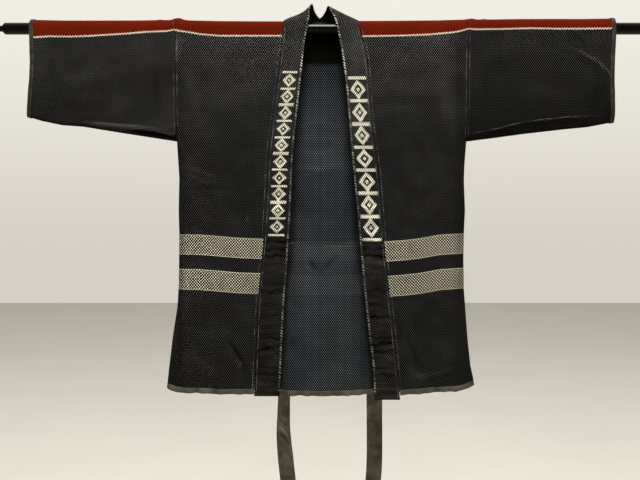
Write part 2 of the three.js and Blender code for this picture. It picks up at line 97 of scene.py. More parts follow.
HALVES = {
    "right": dict(
        sign=-1, shoulder_seam=309, armpit_seam=306,
        neck_width=77, band_end=-783, crest_lift=1.7, crest_sag=42,
        cuff=[(-242, 628), (-186, 627), (-155, 621.7), (-112, 617.2), (-75, 615.9), (-40, 617), (0, 618)],
        side=[(-790, 329.5), (-727, 323), (-655, 314.5), (-593, 305), (-542, 302), (-440, 301),
              (-389, 302.5), (-321, 301), (-242, 306)],
        hem=[(0, -790.5), (60, -789.5), (100, -785), (142, -779), (214, -779.5), (246, -778),
             (278, -777.5), (303, -775.5), (329, -770)],
        underarm=[(306, -242), (422, -224), (509, -210), (552, -207), (596, -198), (626, -189)],
        band_seam=[(-783, 140), (-672, 137), (-563, 131), (-441, 119), (-261, 109), (-159, 96),
                   (-28, 80.5), (0, 79)],
        band_edge=[(-783, 85.5), (-585, 76), (-441, 65), (-261, 57), (-159, 46), (-93, 39),
                   (-29, 32), (15, 24.5), (48, 17)],
    ),
    "left": dict(
        sign=1, shoulder_seam=316, armpit_seam=313,
        neck_width=82, band_end=-791, crest_lift=-2.6, crest_sag=8,
        cuff=[(-242, 629), (-186, 629), (-154, 626.2), (-112, 624.9), (-69, 626.2), (-16, 629), (0, 629)],
        side=[(-790, 333), (-751, 327), (-727, 322), (-668, 315.8), (-598, 310.7), (-559, 307.8),
              (-495, 306.8), (-436, 308), (-389, 310.2), (-325, 307.9), (-293, 309), (-242, 313)],
        hem=[(0, -790.5), (60, -789.5), (120, -786), (176, -781.3), (212, -778), (233, -775.5),
             (286, -774), (303, -772), (326, -765), (333, -763)],
        underarm=[(313, -242), (368, -235), (434, -226), (521, -216), (573, -211), (625, -201)],
        band_seam=[(-791, 172.5), (-737, 166), (-650, 158), (-572, 149), (-441, 135), (-311, 125),
                   (-201, 110), (-71, 101), (-20, 90), (0, 84)],
        band_edge=[(-791, 115), (-737, 114), (-628, 101), (-497, 88), (-420, 82), (-311, 71),
                   (-202, 62), (-115, 55), (-72, 49), (-7, 38), (46, 20)],
    ),
}
NECK_OVER = [(0, 1.025), (30, 1.02), (60, 1.01), (90, 1), (120, 0.9), (150, 0.78), (180, 0.65)]
NECK_BACK = [(-24.5, 0), (-21, 0.17), (-16, 0.34), (-9, 0.5), (0, 0.65)]
coat_width = sum(half["shoulder_seam"] for half in HALVES.values())
print("across the shoulders", coat_width, "mm")

# %% [markdown]
# Cloth bends softly, and its edges run in soft lines from one measured place to the next. Curves drawn
# by hand in the viewport could hold them, but a table read by a small function is easier to measure
# and to mend. Two easings round off every place where one form meets another.

# %% Small tools for tables and easing
def steps(rows):
    """Straight steps between the rows of a table of (place, value)."""
    keys, values = np.array(rows, float).T
    return lambda at: np.interp(at, keys, values)


def swell(share):
    """From 0 to 1, steep at first and level at the end."""
    t = np.clip(share, 0, 1)
    return t * (2 - t)


def ease(share):
    """From 0 to 1, level at both ends."""
    t = np.clip(share, 0, 1)
    return t * t * (3 - 2 * t)


def lerp(a, b, share):
    return a + (b - a) * share


EDGES = ("side", "hem", "cuff", "underarm", "band_seam", "band_edge")
for half in HALVES.values():
    for name in EDGES:
        half[name + "_at"] = steps(half[name])
neck_over_at, neck_back_at = steps(NECK_OVER), steps(NECK_BACK)
print("tables read for", len(HALVES), "halves with", len(EDGES), "edges each")

# %% [markdown]
# Cloth that has hung for years is never flat. A simulation would give it folds, but not the ones that
# this coat has, so they are listed. Each runs along a short line of places on one face, and
# stands out or sinks in by a soft bump across it. The eight folds are the large ones that the solids
# have too. The creases are marks of wear, uneven in length and depth.

# %% The folds and creases, in millimetres: face, half, line of (x, z), width, how far out
FOLDS = [
    ("front", "right", [(205, -70), (190, -780)], 34, 2.6),
    ("front", "right", [(262, -150), (250, -780)], 26, -2.2),
    ("front", "left", [(190, -110), (232, -780)], 38, 2.8),
    ("front", "left", [(268, -190), (280, -780)], 24, -2.0),
    ("back", "right", [(90, -120), (120, -790)], 42, 3.4),
    ("back", "right", [(210, -200), (225, -790)], 34, -2.4),
    ("back", "left", [(100, -90), (105, -790)], 40, 3.0),
    ("back", "left", [(200, -220), (240, -790)], 36, -2.6),
]
FOLD_FADE = 120.0
CREASES = [
    ("front", "right", [(214, -644), (198, -658), (181, -682), (167, -704), (157, -726), (147, -756)],
     4.2, -2.6),
    ("front", "right", [(206, -672), (190, -694), (174, -716), (165, -738)], 9, 1.2),
    ("front", "right", [(303.5, 4), (304, -40), (305.5, -105)], 2.6, 2.2),
    ("front", "right", [(295, -22), (290, -30), (287, -38)], 2.4, 2.0),
    ("front", "left", [(96, -26), (101, -52), (104, -82)], 2.2, 1.9),
    ("front", "right", [(166, -708), (170, -716), (170, -726)], 2.4, 2.6),
    ("front", "right", [(304, -292), (255, -307), (205, -329)], 4.0, 1.5),
    ("front", "right", [(304, -304), (262, -322), (218, -338)], 4.0, 1.1),
    ("front", "right", [(304, -352), (246, -342), (200, -345), (140, -352)], 4.5, -1.6),
    ("front", "right", [(282, -85), (268, -140), (262, -215)], 14, 1.0),
    ("front", "right", [(300, -205), (297, -240), (288, -285)], 4.0, 1.5),
    ("front", "right", [(300, 4), (297, -40), (301, -95)], 6, 1.5),
    ("front", "right", [(296, -540), (298, -620), (300, -700), (303, -770)], 3.0, -1.3),
    ("front", "right", [(120, -110), (200, -150), (285, -170)], 22, 1.2),
    ("front", "right", [(300, -590), (240, -620), (200, -625)], 16, -1.0),
    ("front", "right", [(150, -330), (210, -345), (285, -325)], 20, 0.9),
    ("front", "right", [(295, -690), (250, -712), (215, -745)], 12, 1.1),
    ("front", "left", [(290, -262), (300, -292), (305, -330)], 4.0, 1.4),
    ("front", "left", [(270, -60), (262, -140), (276, -235)], 16, 1.0),
    ("front", "left", [(176, -630), (196, -684), (222, -752)], 4.0, -1.5),
    ("front", "left", [(180, -744), (240, -735), (312, -716)], 4.5, 1.4),
    ("front", "left", [(190, -755), (250, -747), (316, -730)], 4.0, -1.4),
    ("front", "left", [(120, -95), (190, -130), (290, -140)], 20, 1.2),
    ("front", "left", [(180, -590), (230, -640), (290, -655)], 18, -1.1),
    ("front", "left", [(170, -700), (205, -735), (240, -770)], 11, 1.3),
    ("front", "left", [(150, -300), (215, -325), (290, -310)], 18, 0.9),
    ("front", "right", [(152, -396), (155, -408), (158, -420)], 2.2, 3.0),
    ("back", "right", [(2, -521), (15, -507), (30, -488)], 4.5, 2.6),
    ("back", "right", [(1, -534), (18, -520), (40, -500)], 5.0, -2.0),
    ("back", "right", [(8, -478), (40, -486), (66, -478)], 5.0, -1.2),
    ("back", "left", [(2, -521), (20, -504), (48, -478)], 4.5, 2.6),
    ("back", "left", [(1, -534), (20, -518), (44, -494)], 5.0, -2.0),
    ("back", "left", [(20, -470), (48, -480), (74, -476)], 5.0, -1.2),
    ("back", "right", [(290, -255), (250, -320), (232, -400)], 14, 1.7),
    ("back", "right", [(60, -60), (140, -95), (260, -100)], 20, 1.3),
    ("back", "right", [(30, -560), (90, -600), (180, -610)], 18, -1.3),
    ("back", "right", [(280, -640), (220, -680), (180, -740)], 14, 1.2),
    ("back", "left", [(295, -260), (262, -330), (250, -420)], 14, 1.7),
    ("back", "left", [(50, -70), (150, -110), (270, -115)], 22, 1.3),
    ("back", "left", [(25, -640), (110, -665), (200, -655)], 18, -1.2),
    ("back", "left", [(290, -600), (230, -660), (200, -730)], 14, 1.1),
]
# arcs across the centre back: height at the right end, the middle and the left end, width, how far out
BACK_ARCS = [
    (-214, -197, -214, 4.0, -1.6), (-224, -214, -226, 3.5, 1.4), (-236, -232, -238, 3.5, -1.5),
    (-248, -250, -246, 3.5, 1.3), (-262, -266, -258, 3.5, -1.6), (-289, -299, -282, 4.5, -2.2),
    (-303, -312, -298, 4.0, 1.3), (-416, -417, -414, 2.0, -1.5), (-460, -461, -459, 2.2, 1.9),
    (-385, -392, -372, 4.0, 1.2),
]
ARC_REACH = 70
for right_z, middle_z, left_z, width, out in BACK_ARCS:
    for name, near_z, far_z in (("right", right_z, left_z), ("left", left_z, right_z)):
        arc = [(-ARC_REACH, far_z), (0, middle_z), (ARC_REACH, near_z)]
        CREASES.append(("back", name, arc, width, out))
CREASES += [
    ("back", "left", [(0, -718), (50, -735), (118, -756)], 3.0, -1.6),
    ("back", "left", [(10, -706), (55, -718), (100, -736)], 3.0, 1.0),
]
SLEEVE_CREASES = [
    ("front", "left", [(368, -55), (384, -80), (402, -104)], 12, -1.2),
    ("front", "left", [(606, -108), (588, -145), (556, -178)], 18, -1.2),
    ("front", "right", [(345, -40), (350, -120), (338, -215)], 9, -0.9),
    ("front", "right", [(470, -60), (500, -110), (585, -120)], 20, 0.9),
    ("front", "right", [(420, -150), (500, -170), (600, -165)], 22, -0.9),
    ("front", "left", [(498, -31), (525, -41), (556, -55), (589, -74), (611, -95), (625, -117),
                       (645, -165), (652, -190)], 2.6, 4.0),
    ("front", "left", [(520, -54), (550, -66), (580, -84), (602, -106), (612, -126)], 6, -1.2),
    ("front", "left", [(530, -14), (552, -26), (570, -42)], 3.5, -1.4),
    ("front", "right", [(312, -226), (330, -221), (352, -216.5), (380, -213), (412, -210.5), (460, -206),
                        (540, -199)], 3.0, 3.4),
    ("front", "left", [(350, -50), (352, -130), (344, -215)], 9, -0.9),
    ("front", "left", [(400, -100), (470, -140), (560, -150)], 22, 0.9),
    ("back", "right", [(330, -60), (400, -130), (520, -160)], 18, 1.3),
    ("back", "right", [(360, -210), (450, -180), (590, -150)], 16, -1.1),
    ("back", "left", [(335, -50), (410, -120), (530, -150)], 18, 1.3),
    ("back", "left", [(360, -205), (460, -185), (600, -160)], 16, -1.1),
]
RIPPLE_SCALE, RIPPLE_HEIGHT = 90.0, 0.9
HEM_RIPPLE_SCALE, HEM_RIPPLE_HEIGHT, HEM_RIPPLE_REACH = 24.0, 2.2, 70.0

# Ledges: sharp folds under the sleeves, where the cloth above stands out over the cloth below.
# face, half, line of (x, z), how far the upper cloth stands out and the lower one sinks in
LEDGES = [
    ("front", "right", [(306, -226), (318, -229), (352, -219.5), (392, -215), (424, -216)], 6.5, 7.0),
    ("front", "left", [(313, -229), (368, -219.5), (433, -203.5), (521, -193.5), (610, -189)], 2.2, 1.5),
    ("back", "right", [(306, -226), (400, -212), (500, -196), (618, -180)], 1.8, 2.6),
    ("back", "left", [(313, -227), (400, -214), (520, -199), (618, -190)], 1.8, 2.6),
]
LEDGE_EDGE, LEDGE_ABOVE, LEDGE_BELOW = 1.5, 16.0, 40.0
print(len(FOLDS), "folds,", len(CREASES) + len(SLEEVE_CREASES), "creases and", len(LEDGES), "ledges")

# %% [markdown]
# A crease is a soft bump across its line that fades out at both ends. It could be sculpted, but a sum
# of such bumps keeps each crease editable as one row of the table. A ridge is also painted pale, as wear
# and as painted highlight, and a trough is painted dark, as painted shade, so the same bump is kept as
# wear and shade for the finishes.

# %% The shape of a crease, and its wear and painted shade
CREASE_ENDS = 0.4
CREASE_WEAR_AND_SHADE = 2.2


def bump_along(line, width, out, x, z):
    """A soft ridge or trough along a line of places, fading towards its two ends."""
    nearest = np.full(np.shape(x), 1e9)
    along = np.zeros(np.shape(x))
    spans = [math.dist(a, b) for a, b in zip(line, line[1:])]
    start = 0.0
    for (ax, az), (bx, bz), span in zip(line, line[1:], spans):
        t = np.clip(((x - ax) * (bx - ax) + (z - az) * (bz - az)) / span**2, 0, 1)
        away = np.hypot(x - lerp(ax, bx, t), z - lerp(az, bz, t))
        closer = away < nearest
        nearest = np.where(closer, away, nearest)
        along = np.where(closer, start + t * span, along)
        start += span
    value_factor = CREASE_ENDS * start
    ends = ease(along / value_factor) * ease((start - along) / value_factor)
    return out * np.exp(-((nearest / width) ** 2)) * ends


def over_ledge(line, x, z):
    """How high a place lies over a ledge's line, and 1 along the line with a fade at both ends."""
    places, levels = np.array(line, float).T
    reach = (x - places[0]) / (places[-1] - places[0])
    ends = ease((1.0 - reach) / 0.3) * ease((reach + 0.12) / 0.12)
    return z - np.interp(x, places, levels), ends


def ledge_along(line, above, below, x, z):
    """A step across a line: the cloth above it stands out, the cloth below it sinks in."""
    rise, ends = over_ledge(line, x, z)
    upper = above * np.exp(-((rise / LEDGE_ABOVE) ** 2))
    lower = -below * np.exp(-((rise / LEDGE_BELOW) ** 2))
    return ends * lerp(lower, upper, ease(rise / (2 * LEDGE_EDGE) + 0.5))


def folds_at(face, half_name, x, z):
    out = np.zeros(np.shape(x))
    for fold_face, fold_half, line, width, rise in FOLDS:
        if (fold_face, fold_half) != (face, half_name):
            continue
        (top_x, top_z), (low_x, low_z) = line
        along = np.clip((top_z - z) / (top_z - low_z), 0, 1)
        away = (x - lerp(top_x, low_x, along)) / width
        out = out + rise * np.exp(-(away**2)) * ease((top_z - z) / FOLD_FADE)
    return out


def ledge_light_and_shade(line, x, z):
    """1 on the edge of a ledge, for a painted highlight, and -1 on the cloth under it, for painted shade."""
    rise, ends = over_ledge(line, x, z)
    return ends * np.where(rise > 0, np.exp(-(((rise - 1.5) / 2.0) ** 2)), -ease(-rise / 2))


def wear_and_shade_of(crease):
    """A strong ridge is painted much paler than a soft one, as wear and painted highlight, and a deep trough
    much darker, as painted shade.
    """
    return np.sign(crease) * (np.abs(crease) / CREASE_WEAR_AND_SHADE) ** 1.5


def creases_at(creases, face, half_name, x, z):
    out = np.zeros(np.shape(x))
    for crease_face, crease_half, line, width, rise in creases:
        if (crease_face, crease_half) == (face, half_name):
            out = out + bump_along(line, width, rise, x, z)
    return out


def ripple(x, y, z, scale, height):
    """A slow uneven wave over a grid of places."""
    flat = [height * noise.noise(Vector(p) / scale) for p in zip(x.ravel(), y.ravel(), z.ravel())]
    return np.array(flat).reshape(x.shape)


# %% [markdown]
# The form of a body length. Its cloth goes up the front, over the rod and down the back, and closes
# in towards the side seam below the armpit. It could be a bent plane with modifiers on it, but then the
# bindings, seams and stitches would have to be fitted by eye. One function gives the depth of the
# middle of the cloth at any place, so all of them can be laid on the same surface.


# %% The form of the body
def hanging_depth(face, z):
    return OVER_ROD + FALL[face] * ease(-z / FALL_REACH)


def outer_edge(half, z):
    seam = lerp(half["shoulder_seam"], half["armpit_seam"], np.clip(z / ARMPIT, 0, 1))
    return np.where(z < ARMPIT, half["side_at"](z), seam)


def body_depth(face, half_name, x, z):
    half = HALVES[half_name]
    full = hanging_depth(face, z) + folds_at(face, half_name, x, z)
    full = full + creases_at(CREASES, face, half_name, x, z)
    ring_bottom = ARMPIT + UNDERARM_DEPTH[0] + WALL / 2
    closing = lerp(UNDERARM_DEPTH[0], full, swell((z - ring_bottom) / UNDERARM_ROUND))
    edge = np.where(z > ring_bottom, closing, SIDE_DEPTH)
    return lerp(edge, full, swell((outer_edge(half, z) - x) / SIDE_ROUND))


def settled_level(half, x, level):
    """The hem hangs at its own level at each x, and the cloth above stretches with it."""
    drop = half["hem_at"](x) + BINDING_WALL + BINDING_CLEARANCE - HEM_LEVEL
    return level + drop * ease((ARMPIT - level) / (ARMPIT - HEM_LEVEL))


def inner_edge(half, face, level):
    """x of the band's seam in front, and of the neck seam and the centre back behind."""
    if face == "front":
        return half["band_seam_at"](level)
    return np.maximum(0, half["neck_width"] * neck_back_at(level))


def body_surface(face, half_name, x, level, lift=0.0):
    """Points on the middle of a body length's cloth, moved out by lift."""
    half = HALVES[half_name]
    x, level = np.broadcast_arrays(np.asarray(x, float), np.asarray(level, float))
    z = settled_level(half, x, level)
    sign = -1 if face == "front" else 1
    loose = ease((outer_edge(half, z) - x) / 40) * ease(-z / 60)
    waves = ripple(x * half["sign"], z * 0 + sign * 400, z, RIPPLE_SCALE, RIPPLE_HEIGHT)
    near_hem = ease((HEM_LEVEL + HEM_RIPPLE_REACH - level) / HEM_RIPPLE_REACH)
    waves = waves + near_hem * ripple(x * half["sign"], z * 0 + sign * 90, z * 0.3, HEM_RIPPLE_SCALE,
                                      HEM_RIPPLE_HEIGHT)
    depth = body_depth(face, half_name, x, z) + loose * waves
    return np.stack([half["sign"] * x, sign * (depth + lift), z], -1)


# %% [markdown]
# A pattern woven in the cloth moves with it. A texture laid on from the camera would slide over the
# folds, so pairs of numbers are kept for every point, as UV layers. "cloth" holds where the point lies
# on the cut cloth, in metres, so that the weave and the two pale stripes follow the cloth as it sags.
# "trim" holds how far it lies above the lower edge of the red band at the shoulder. The layer of wear
# and shade is above 0 on ridges, painted pale as wear and as painted highlight, and below 0 in creases,
# painted dark as painted shade. "cover" is above 0 where the back shows between the two collar bands,
# and below 0 where a band lies over it; the inner finish paints the band's shadow from it.

# %% Where the stripes and the red band lie on the cloth
STRIPES = [(-439.0, 42.4), (-512.3, 43.6)]
STRIPE_SAG = {
    ("front", "right"): steps([(110, 12), (135, 10.5), (171, 9.3), (214, 5.6), (256, 2.4), (300, 2)]),
    ("front", "left"): steps([(130, 18), (152, 16), (180, 14), (212, 10), (254, 2.4), (300, 0)]),
    ("back", "right"): steps([(0, 17), (80, 15), (150, 11), (300, 2)]),
    ("back", "left"): steps([(0, 17), (80, 15), (150, 10), (300, 0)]),
}
SAG_REACH = 400
RED_EDGE = {
    "right": steps([(78, -19), (214, -18.9), (257, -15.2), (278, -11.4), (297, -9), (310, -5.9), (325, -9),
                    (342, -9.6), (374, -10.9), (406, -14), (448, -16.6), (491, -19.4), (533, -20.6),
                    (576, -20.2), (606, -22.6), (628, -23.5)]),
    "left": steps([(82, -20), (148, -19), (191, -17.9), (233, -16.1), (265, -13.3), (286, -11.2), (301, -8.2),
                   (314, -4), (329, -5.2), (382, -4.6), (446, -3), (510, -4), (629, -3.6)]),
}


def cloth_place(face, half_name, x, z):
    """Height on the cut cloth: the sag towards the middle is taken out again."""
    return z + STRIPE_SAG[(face, half_name)](x) * ease(-z / SAG_REACH)


def red_place(half_name, x, path):
    """Height over the red band's lower edge, along a path that is 0 at the rod's level."""
    return path - RED_EDGE[half_name](x)


# %% [markdown]
# Every piece of cloth is a thin closed wall: one grid of points for its outer face, one for its
# inner face, joined round the rim. A Solidify modifier on one sheet would do nearly the same, but the
# seams and the band need faces that differ. Faces on the inside get their own finish, because the
# cloth is bluer and paler there.


# %% A closed wall from two grids
def wall_mesh(name, outer, inner, layers, tube=False):
    """outer and inner are (rows, columns, 3) in millimetres, layers maps a UV name to (rows, columns, 2)."""
    rows, columns = outer.shape[:2]
    points = np.concatenate([outer.reshape(-1, 3), inner.reshape(-1, 3)]) * MM
    number = np.arange(2 * rows * columns).reshape(2, rows, columns)
    if tube:
        number = np.concatenate([number, number[:, :, :1]], axis=2)
    a, b = number[0], number[1]
    quads = [np.stack([a[:-1, :-1], a[:-1, 1:], a[1:, 1:], a[1:, :-1]], -1).reshape(-1, 4)]
    outside = len(quads[0])
    quads.append(np.stack([b[:-1, :-1], b[1:, :-1], b[1:, 1:], b[:-1, 1:]], -1).reshape(-1, 4))
    inside = len(quads[1])
    quads.append(np.stack([a[0, :-1], b[0, :-1], b[0, 1:], a[0, 1:]], -1))
    quads.append(np.stack([a[-1, :-1], a[-1, 1:], b[-1, 1:], b[-1, :-1]], -1))
    if not tube:
        quads.append(np.stack([a[:-1, 0], a[1:, 0], b[1:, 0], b[:-1, 0]], -1))
        quads.append(np.stack([a[:-1, -1], b[:-1, -1], b[1:, -1], a[1:, -1]], -1))
    quads = np.concatenate(quads)
    corners = points[quads]
    volume = np.einsum("ij,ij->i", corners[:, 0], np.cross(corners[:, 1], corners[:, 2])).sum()
    volume += np.einsum("ij,ij->i", corners[:, 0], np.cross(corners[:, 2], corners[:, 3])).sum()
    if volume < 0:
        quads = quads[:, ::-1]
    mesh = bpy.data.meshes.new(name)
    mesh.from_pydata(points.tolist(), [], quads.tolist())
    slots = np.zeros(len(quads), dtype=np.int32)
    slots[outside:outside + inside] = 1
    mesh.polygons.foreach_set("material_index", slots)
    mesh.polygons.foreach_set("use_smooth", np.full(len(quads), True))
    for layer_name, grid in layers.items():
        layer = mesh.uv_layers.new(name=layer_name)
        flat = np.concatenate([grid.reshape(-1, 2), grid.reshape(-1, 2)])
        layer.data.foreach_set("uv", flat[quads.ravel()].ravel())
    mesh.update()
    piece = bpy.data.objects.new(name, mesh)
    bpy.context.collection.objects.link(piece)
    return piece


def facing_of(grid):
    """Unit normals of a grid of points, from the steps between neighbours."""
    facing = np.cross(np.gradient(grid, axis=0), np.gradient(grid, axis=1))
    return facing / np.linalg.norm(facing, axis=2, keepdims=True)


def dress(piece, node_names, slot_name, *finishes):
    """Rides, replaces and gives the finishes of one piece. slot_name is not used."""
    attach(piece, BODY)
    if node_names:
        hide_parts(*node_names)
    for finish in finishes:
        piece.data.materials.append(finish)
    print(piece.name, len(piece.data.polygons), "faces")


# %% [markdown]
# Finishes are node trees. They could be wired by hand in the shader editor, but a small class keeps
# them readable in a script: each call adds one node and gives back its result. The weave is a
# staggered field of grains, made from two cosines along the cloth's own directions. Grains are raised
# a little, and their colour differs from the ground between them.

# %% A helper for finishes
CLOTH_GLOSS = 0.012
SHEEN_ROUGHNESS = 0.5


class Finish:
    def __init__(self, name, roughness, sheen=0.0):
        self.material = bpy.data.materials.new(name)
        self.material.use_nodes = True
        self.tree = self.material.node_tree
        self.shader = self.tree.nodes["Principled BSDF"]
        self.shader.inputs["Roughness"].default_value = roughness
        self.shader.inputs["Sheen Weight"].default_value = sheen
        self.shader.inputs["Sheen Roughness"].default_value = SHEEN_ROUGHNESS
        self.shader.inputs["Specular IOR Level"].default_value = CLOTH_GLOSS

    def put(self, socket, value):
        if hasattr(value, "is_output"):
            self.tree.links.new(value, socket)
        elif isinstance(value, tuple) and len(value) == 3 and socket.type == "RGBA":
            socket.default_value = (*value, 1)
        else:
            socket.default_value = value

    def calc(self, operation, a, b=0.0, c=0.0, clamp=False):
        node = self.tree.nodes.new("ShaderNodeMath")
        node.operation = operation
        node.use_clamp = clamp
        for socket, value in zip(node.inputs, (a, b, c)):
            self.put(socket, value)
        return node.outputs[0]

    def ramp(self, value, low, high, start=0.0, end=1.0):
        """value from low to high becomes start to end, softly."""
        node = self.tree.nodes.new("ShaderNodeMapRange")
        node.interpolation_type = "SMOOTHSTEP"
        for name, number in zip(("From Min", "From Max", "To Min", "To Max"), (low, high, start, end)):
            self.put(node.inputs[name], number)
        self.put(node.inputs["Value"], value)
        return node.outputs[0]

    def mix(self, share, a, b):
        node = self.tree.nodes.new("ShaderNodeMix")
        node.data_type = "RGBA"
        self.put(node.inputs[0], share)
        self.put(node.inputs[6], a)
        self.put(node.inputs[7], b)
        return node.outputs[2]

    def places(self, layer):
        uv = self.tree.nodes.new("ShaderNodeUVMap")
        uv.uv_map = layer
        split = self.tree.nodes.new("ShaderNodeSeparateXYZ")
        self.tree.links.new(uv.outputs[0], split.inputs[0])
        return split.outputs[0], split.outputs[1]

    def cloud(self, size, detail=3.0, squash=(1, 1, 1), offset=0.0):
        """Uneven patches about size metres across, from 0 to 1."""
        place = self.tree.nodes.new("ShaderNodeTexCoord")
        mapping = self.tree.nodes.new("ShaderNodeMapping")
        mapping.inputs["Scale"].default_value = squash
        mapping.inputs["Location"].default_value = (offset, offset, offset)
        texture = self.tree.nodes.new("ShaderNodeTexNoise")
        texture.inputs["Scale"].default_value = 1 / size
        texture.inputs["Detail"].default_value = detail
        self.tree.links.new(place.outputs["Object"], mapping.inputs[0])
        self.tree.links.new(mapping.outputs[0], texture.inputs["Vector"])
        return texture.outputs[0]

    def height(self):
        place = self.tree.nodes.new("ShaderNodeTexCoord")
        split = self.tree.nodes.new("ShaderNodeSeparateXYZ")
        self.tree.links.new(place.outputs["Object"], split.inputs[0])
        return split.outputs[2]

    def wave(self, place, pitch):
        """A cosine along a place, from -1 to 1, that repeats after pitch."""
        return self.calc("COSINE", self.calc("MULTIPLY", place, 2 * math.pi / pitch))

    def grains(self, u, v, wide, tall, low=-0.05, high=0.45):
        """1 on a grain and 0 between: a staggered field that repeats after wide and tall."""
        field = self.calc("MULTIPLY", self.wave(u, wide), self.wave(v, tall))
        return self.ramp(field, low, high)

    def shade(self, colour, value):
        node = self.tree.nodes.new("ShaderNodeHueSaturation")
        self.put(node.inputs["Color"], colour)
        self.put(node.inputs["Value"], value)
        return node.outputs[0]

    def worn(self, colour, paler, darker):
        """The colour made paler on ridges, as wear and painted highlight, and darker in creases, as painted
        shade, as the layer of wear and shade says.
        """
        wear_and_shade, _ = self.places("wear_and_shade")
        pale = self.calc("MULTIPLY_ADD", self.calc("MAXIMUM", wear_and_shade, 0.0), paler, 1.0)
        dark = self.calc("MULTIPLY_ADD", self.calc("MINIMUM", wear_and_shade, 0.0), darker, 1.0)
        return self.shade(colour, self.calc("MULTIPLY", pale, dark))

    def light_and_tone(self, colour, place, light_ramps):
        """The colour lightened or darkened along a place, for painted light and shade and for tone: rows of
        (low, high, value at low, value at high).
        """
        for low, high, start, end in light_ramps:
            colour = self.shade(colour, self.ramp(place, low, high, start, end))
        return colour

    def between(self, value, low, high, soft=0.0003):
        """1 where value lies between low and high."""
        return self.calc("MULTIPLY", self.ramp(value, low - soft, low + soft),
                         self.ramp(value, high - soft, high + soft, 1.0, 0.0))

    def zigzag(self, along, away, pitch, height):
        """1 on the teeth of a zigzag line that fills a strip of that height above away = 0."""
        tooth = self.calc("PINGPONG", along, pitch / 2)
        tooth = self.calc("MULTIPLY", tooth, height / pitch)
        centre = self.calc("ADD", tooth, height * 0.25)
        off = self.calc("ABSOLUTE", self.calc("SUBTRACT", away, centre))
        return self.ramp(off, height * 0.16, height * 0.28, 1.0, 0.0)

    def raise_by(self, height, distance):
        node = self.tree.nodes.new("ShaderNodeBump")
        node.inputs["Strength"].default_value = 1
        node.inputs["Distance"].default_value = distance
        self.tree.links.new(height, node.inputs["Height"])
        self.tree.links.new(node.outputs[0], self.shader.inputs["Normal"])

    def colour(self, value):
        self.put(self.shader.inputs["Base Color"], value)
        return self.material


# %% [markdown]
# The outer finish: near-black cotton with greyer grains, two off-white woven stripes at the waist,
# and the red band along the shoulder with its white zigzag line. Between the pale grains of the
# stripes the dark ground shows. The stripes could be meshes of their own, but on the real cloth they
# are other yarns in the same weave, so they are colours in the same finish. The cloth is painted
# lighter towards the shoulders, as painted light from above, and darker along the body's side edges,
# as painted shade. Slow patches of wear make its weave plainer in some places than in others.

# %% Finish of the outer cloth
GRAIN_WIDE, GRAIN_TALL = 0.0049, 0.0066
GRAIN_EDGE = (0.22, 0.64)
GROUND, GRAIN_DULL, GRAIN_WORN = (0.0010, 0.0010, 0.0010), (0.054, 0.054, 0.051), (0.082, 0.083, 0.079)
BLUISH, BLUISH_SHARE = (0.008, 0.0108, 0.013), 0.15
BODY_PATCHES, SLEEVE_PATCHES = (0.36, 0.72), (0.15, 0.95)
STRIPE_WIDE, STRIPE_TALL, STRIPE_RIM = 0.0058, 0.0065, 1.5
STRIPE_DARK, STRIPE_PALE = (0.0015, 0.0012, 0.0008), (0.98, 0.92, 0.70)
RED_DARK, RED_BRIGHT = (0.085, 0.006, 0.0008), (0.175, 0.015, 0.0024)
WHITE_LINE = (0.72, 0.59, 0.45)
WHITE_LINE_HEIGHT, WHITE_LINE_PITCH = 0.0056, 0.0058
STRIPE_GRAIN_EDGE, STRIPE_RIM_PALE = (0.28, 0.62), 0.3
SIDE_PAINTED_SHADE = [(0.280, 0.297, 1.0, 0.72)]
LEFT_HALF_DIMMER = [(-0.02, 0.06, 1.0, 0.94)]
SLEEVE_HALVES_DIMMER, SLEEVE_UNDERSIDE_LIGHT = (0.88, 0.78), (1.42, 0.86)
RUBBED_FLAT, RUBBED_GRAIN = 0.62, 0.20
CLOTH_RIDGES_PALER, CLOTH_CREASES_DARKER = 1.3, 0.8
CLOTH_RELIEF = 0.0004
# painted light from above: the body and the sleeves lighter towards the shoulders
BODY_TOP_LIGHT = [(-0.26, -0.17, 0.97, 1.30), (-0.145, -0.030, 1.0, 1.56)]
SLEEVE_TOP_LIGHT = [(-0.18, -0.02, 0.95, 1.36)]


def woven_stripes(finish, ground, u, v):
    """The two pale stripes laid into the ground: rows of pale grains between two paler rims."""
    masks = [finish.between(v, (top - tall) * MM, top * MM) for top, tall in STRIPES]
    hearts = [finish.between(v, (top - tall + STRIPE_RIM) * MM, (top - STRIPE_RIM) * MM)
              for top, tall in STRIPES]
    stripe, heart = (finish.calc("ADD", *pair, clamp=True) for pair in (masks, hearts))
    dots = finish.grains(u, v, STRIPE_WIDE, STRIPE_TALL, *STRIPE_GRAIN_EDGE)
    rim = finish.calc("MULTIPLY_ADD", heart, -STRIPE_RIM_PALE, STRIPE_RIM_PALE)
    dots = finish.calc("MAXIMUM", dots, rim)
    return finish.mix(stripe, ground, finish.mix(dots, STRIPE_DARK, STRIPE_PALE))


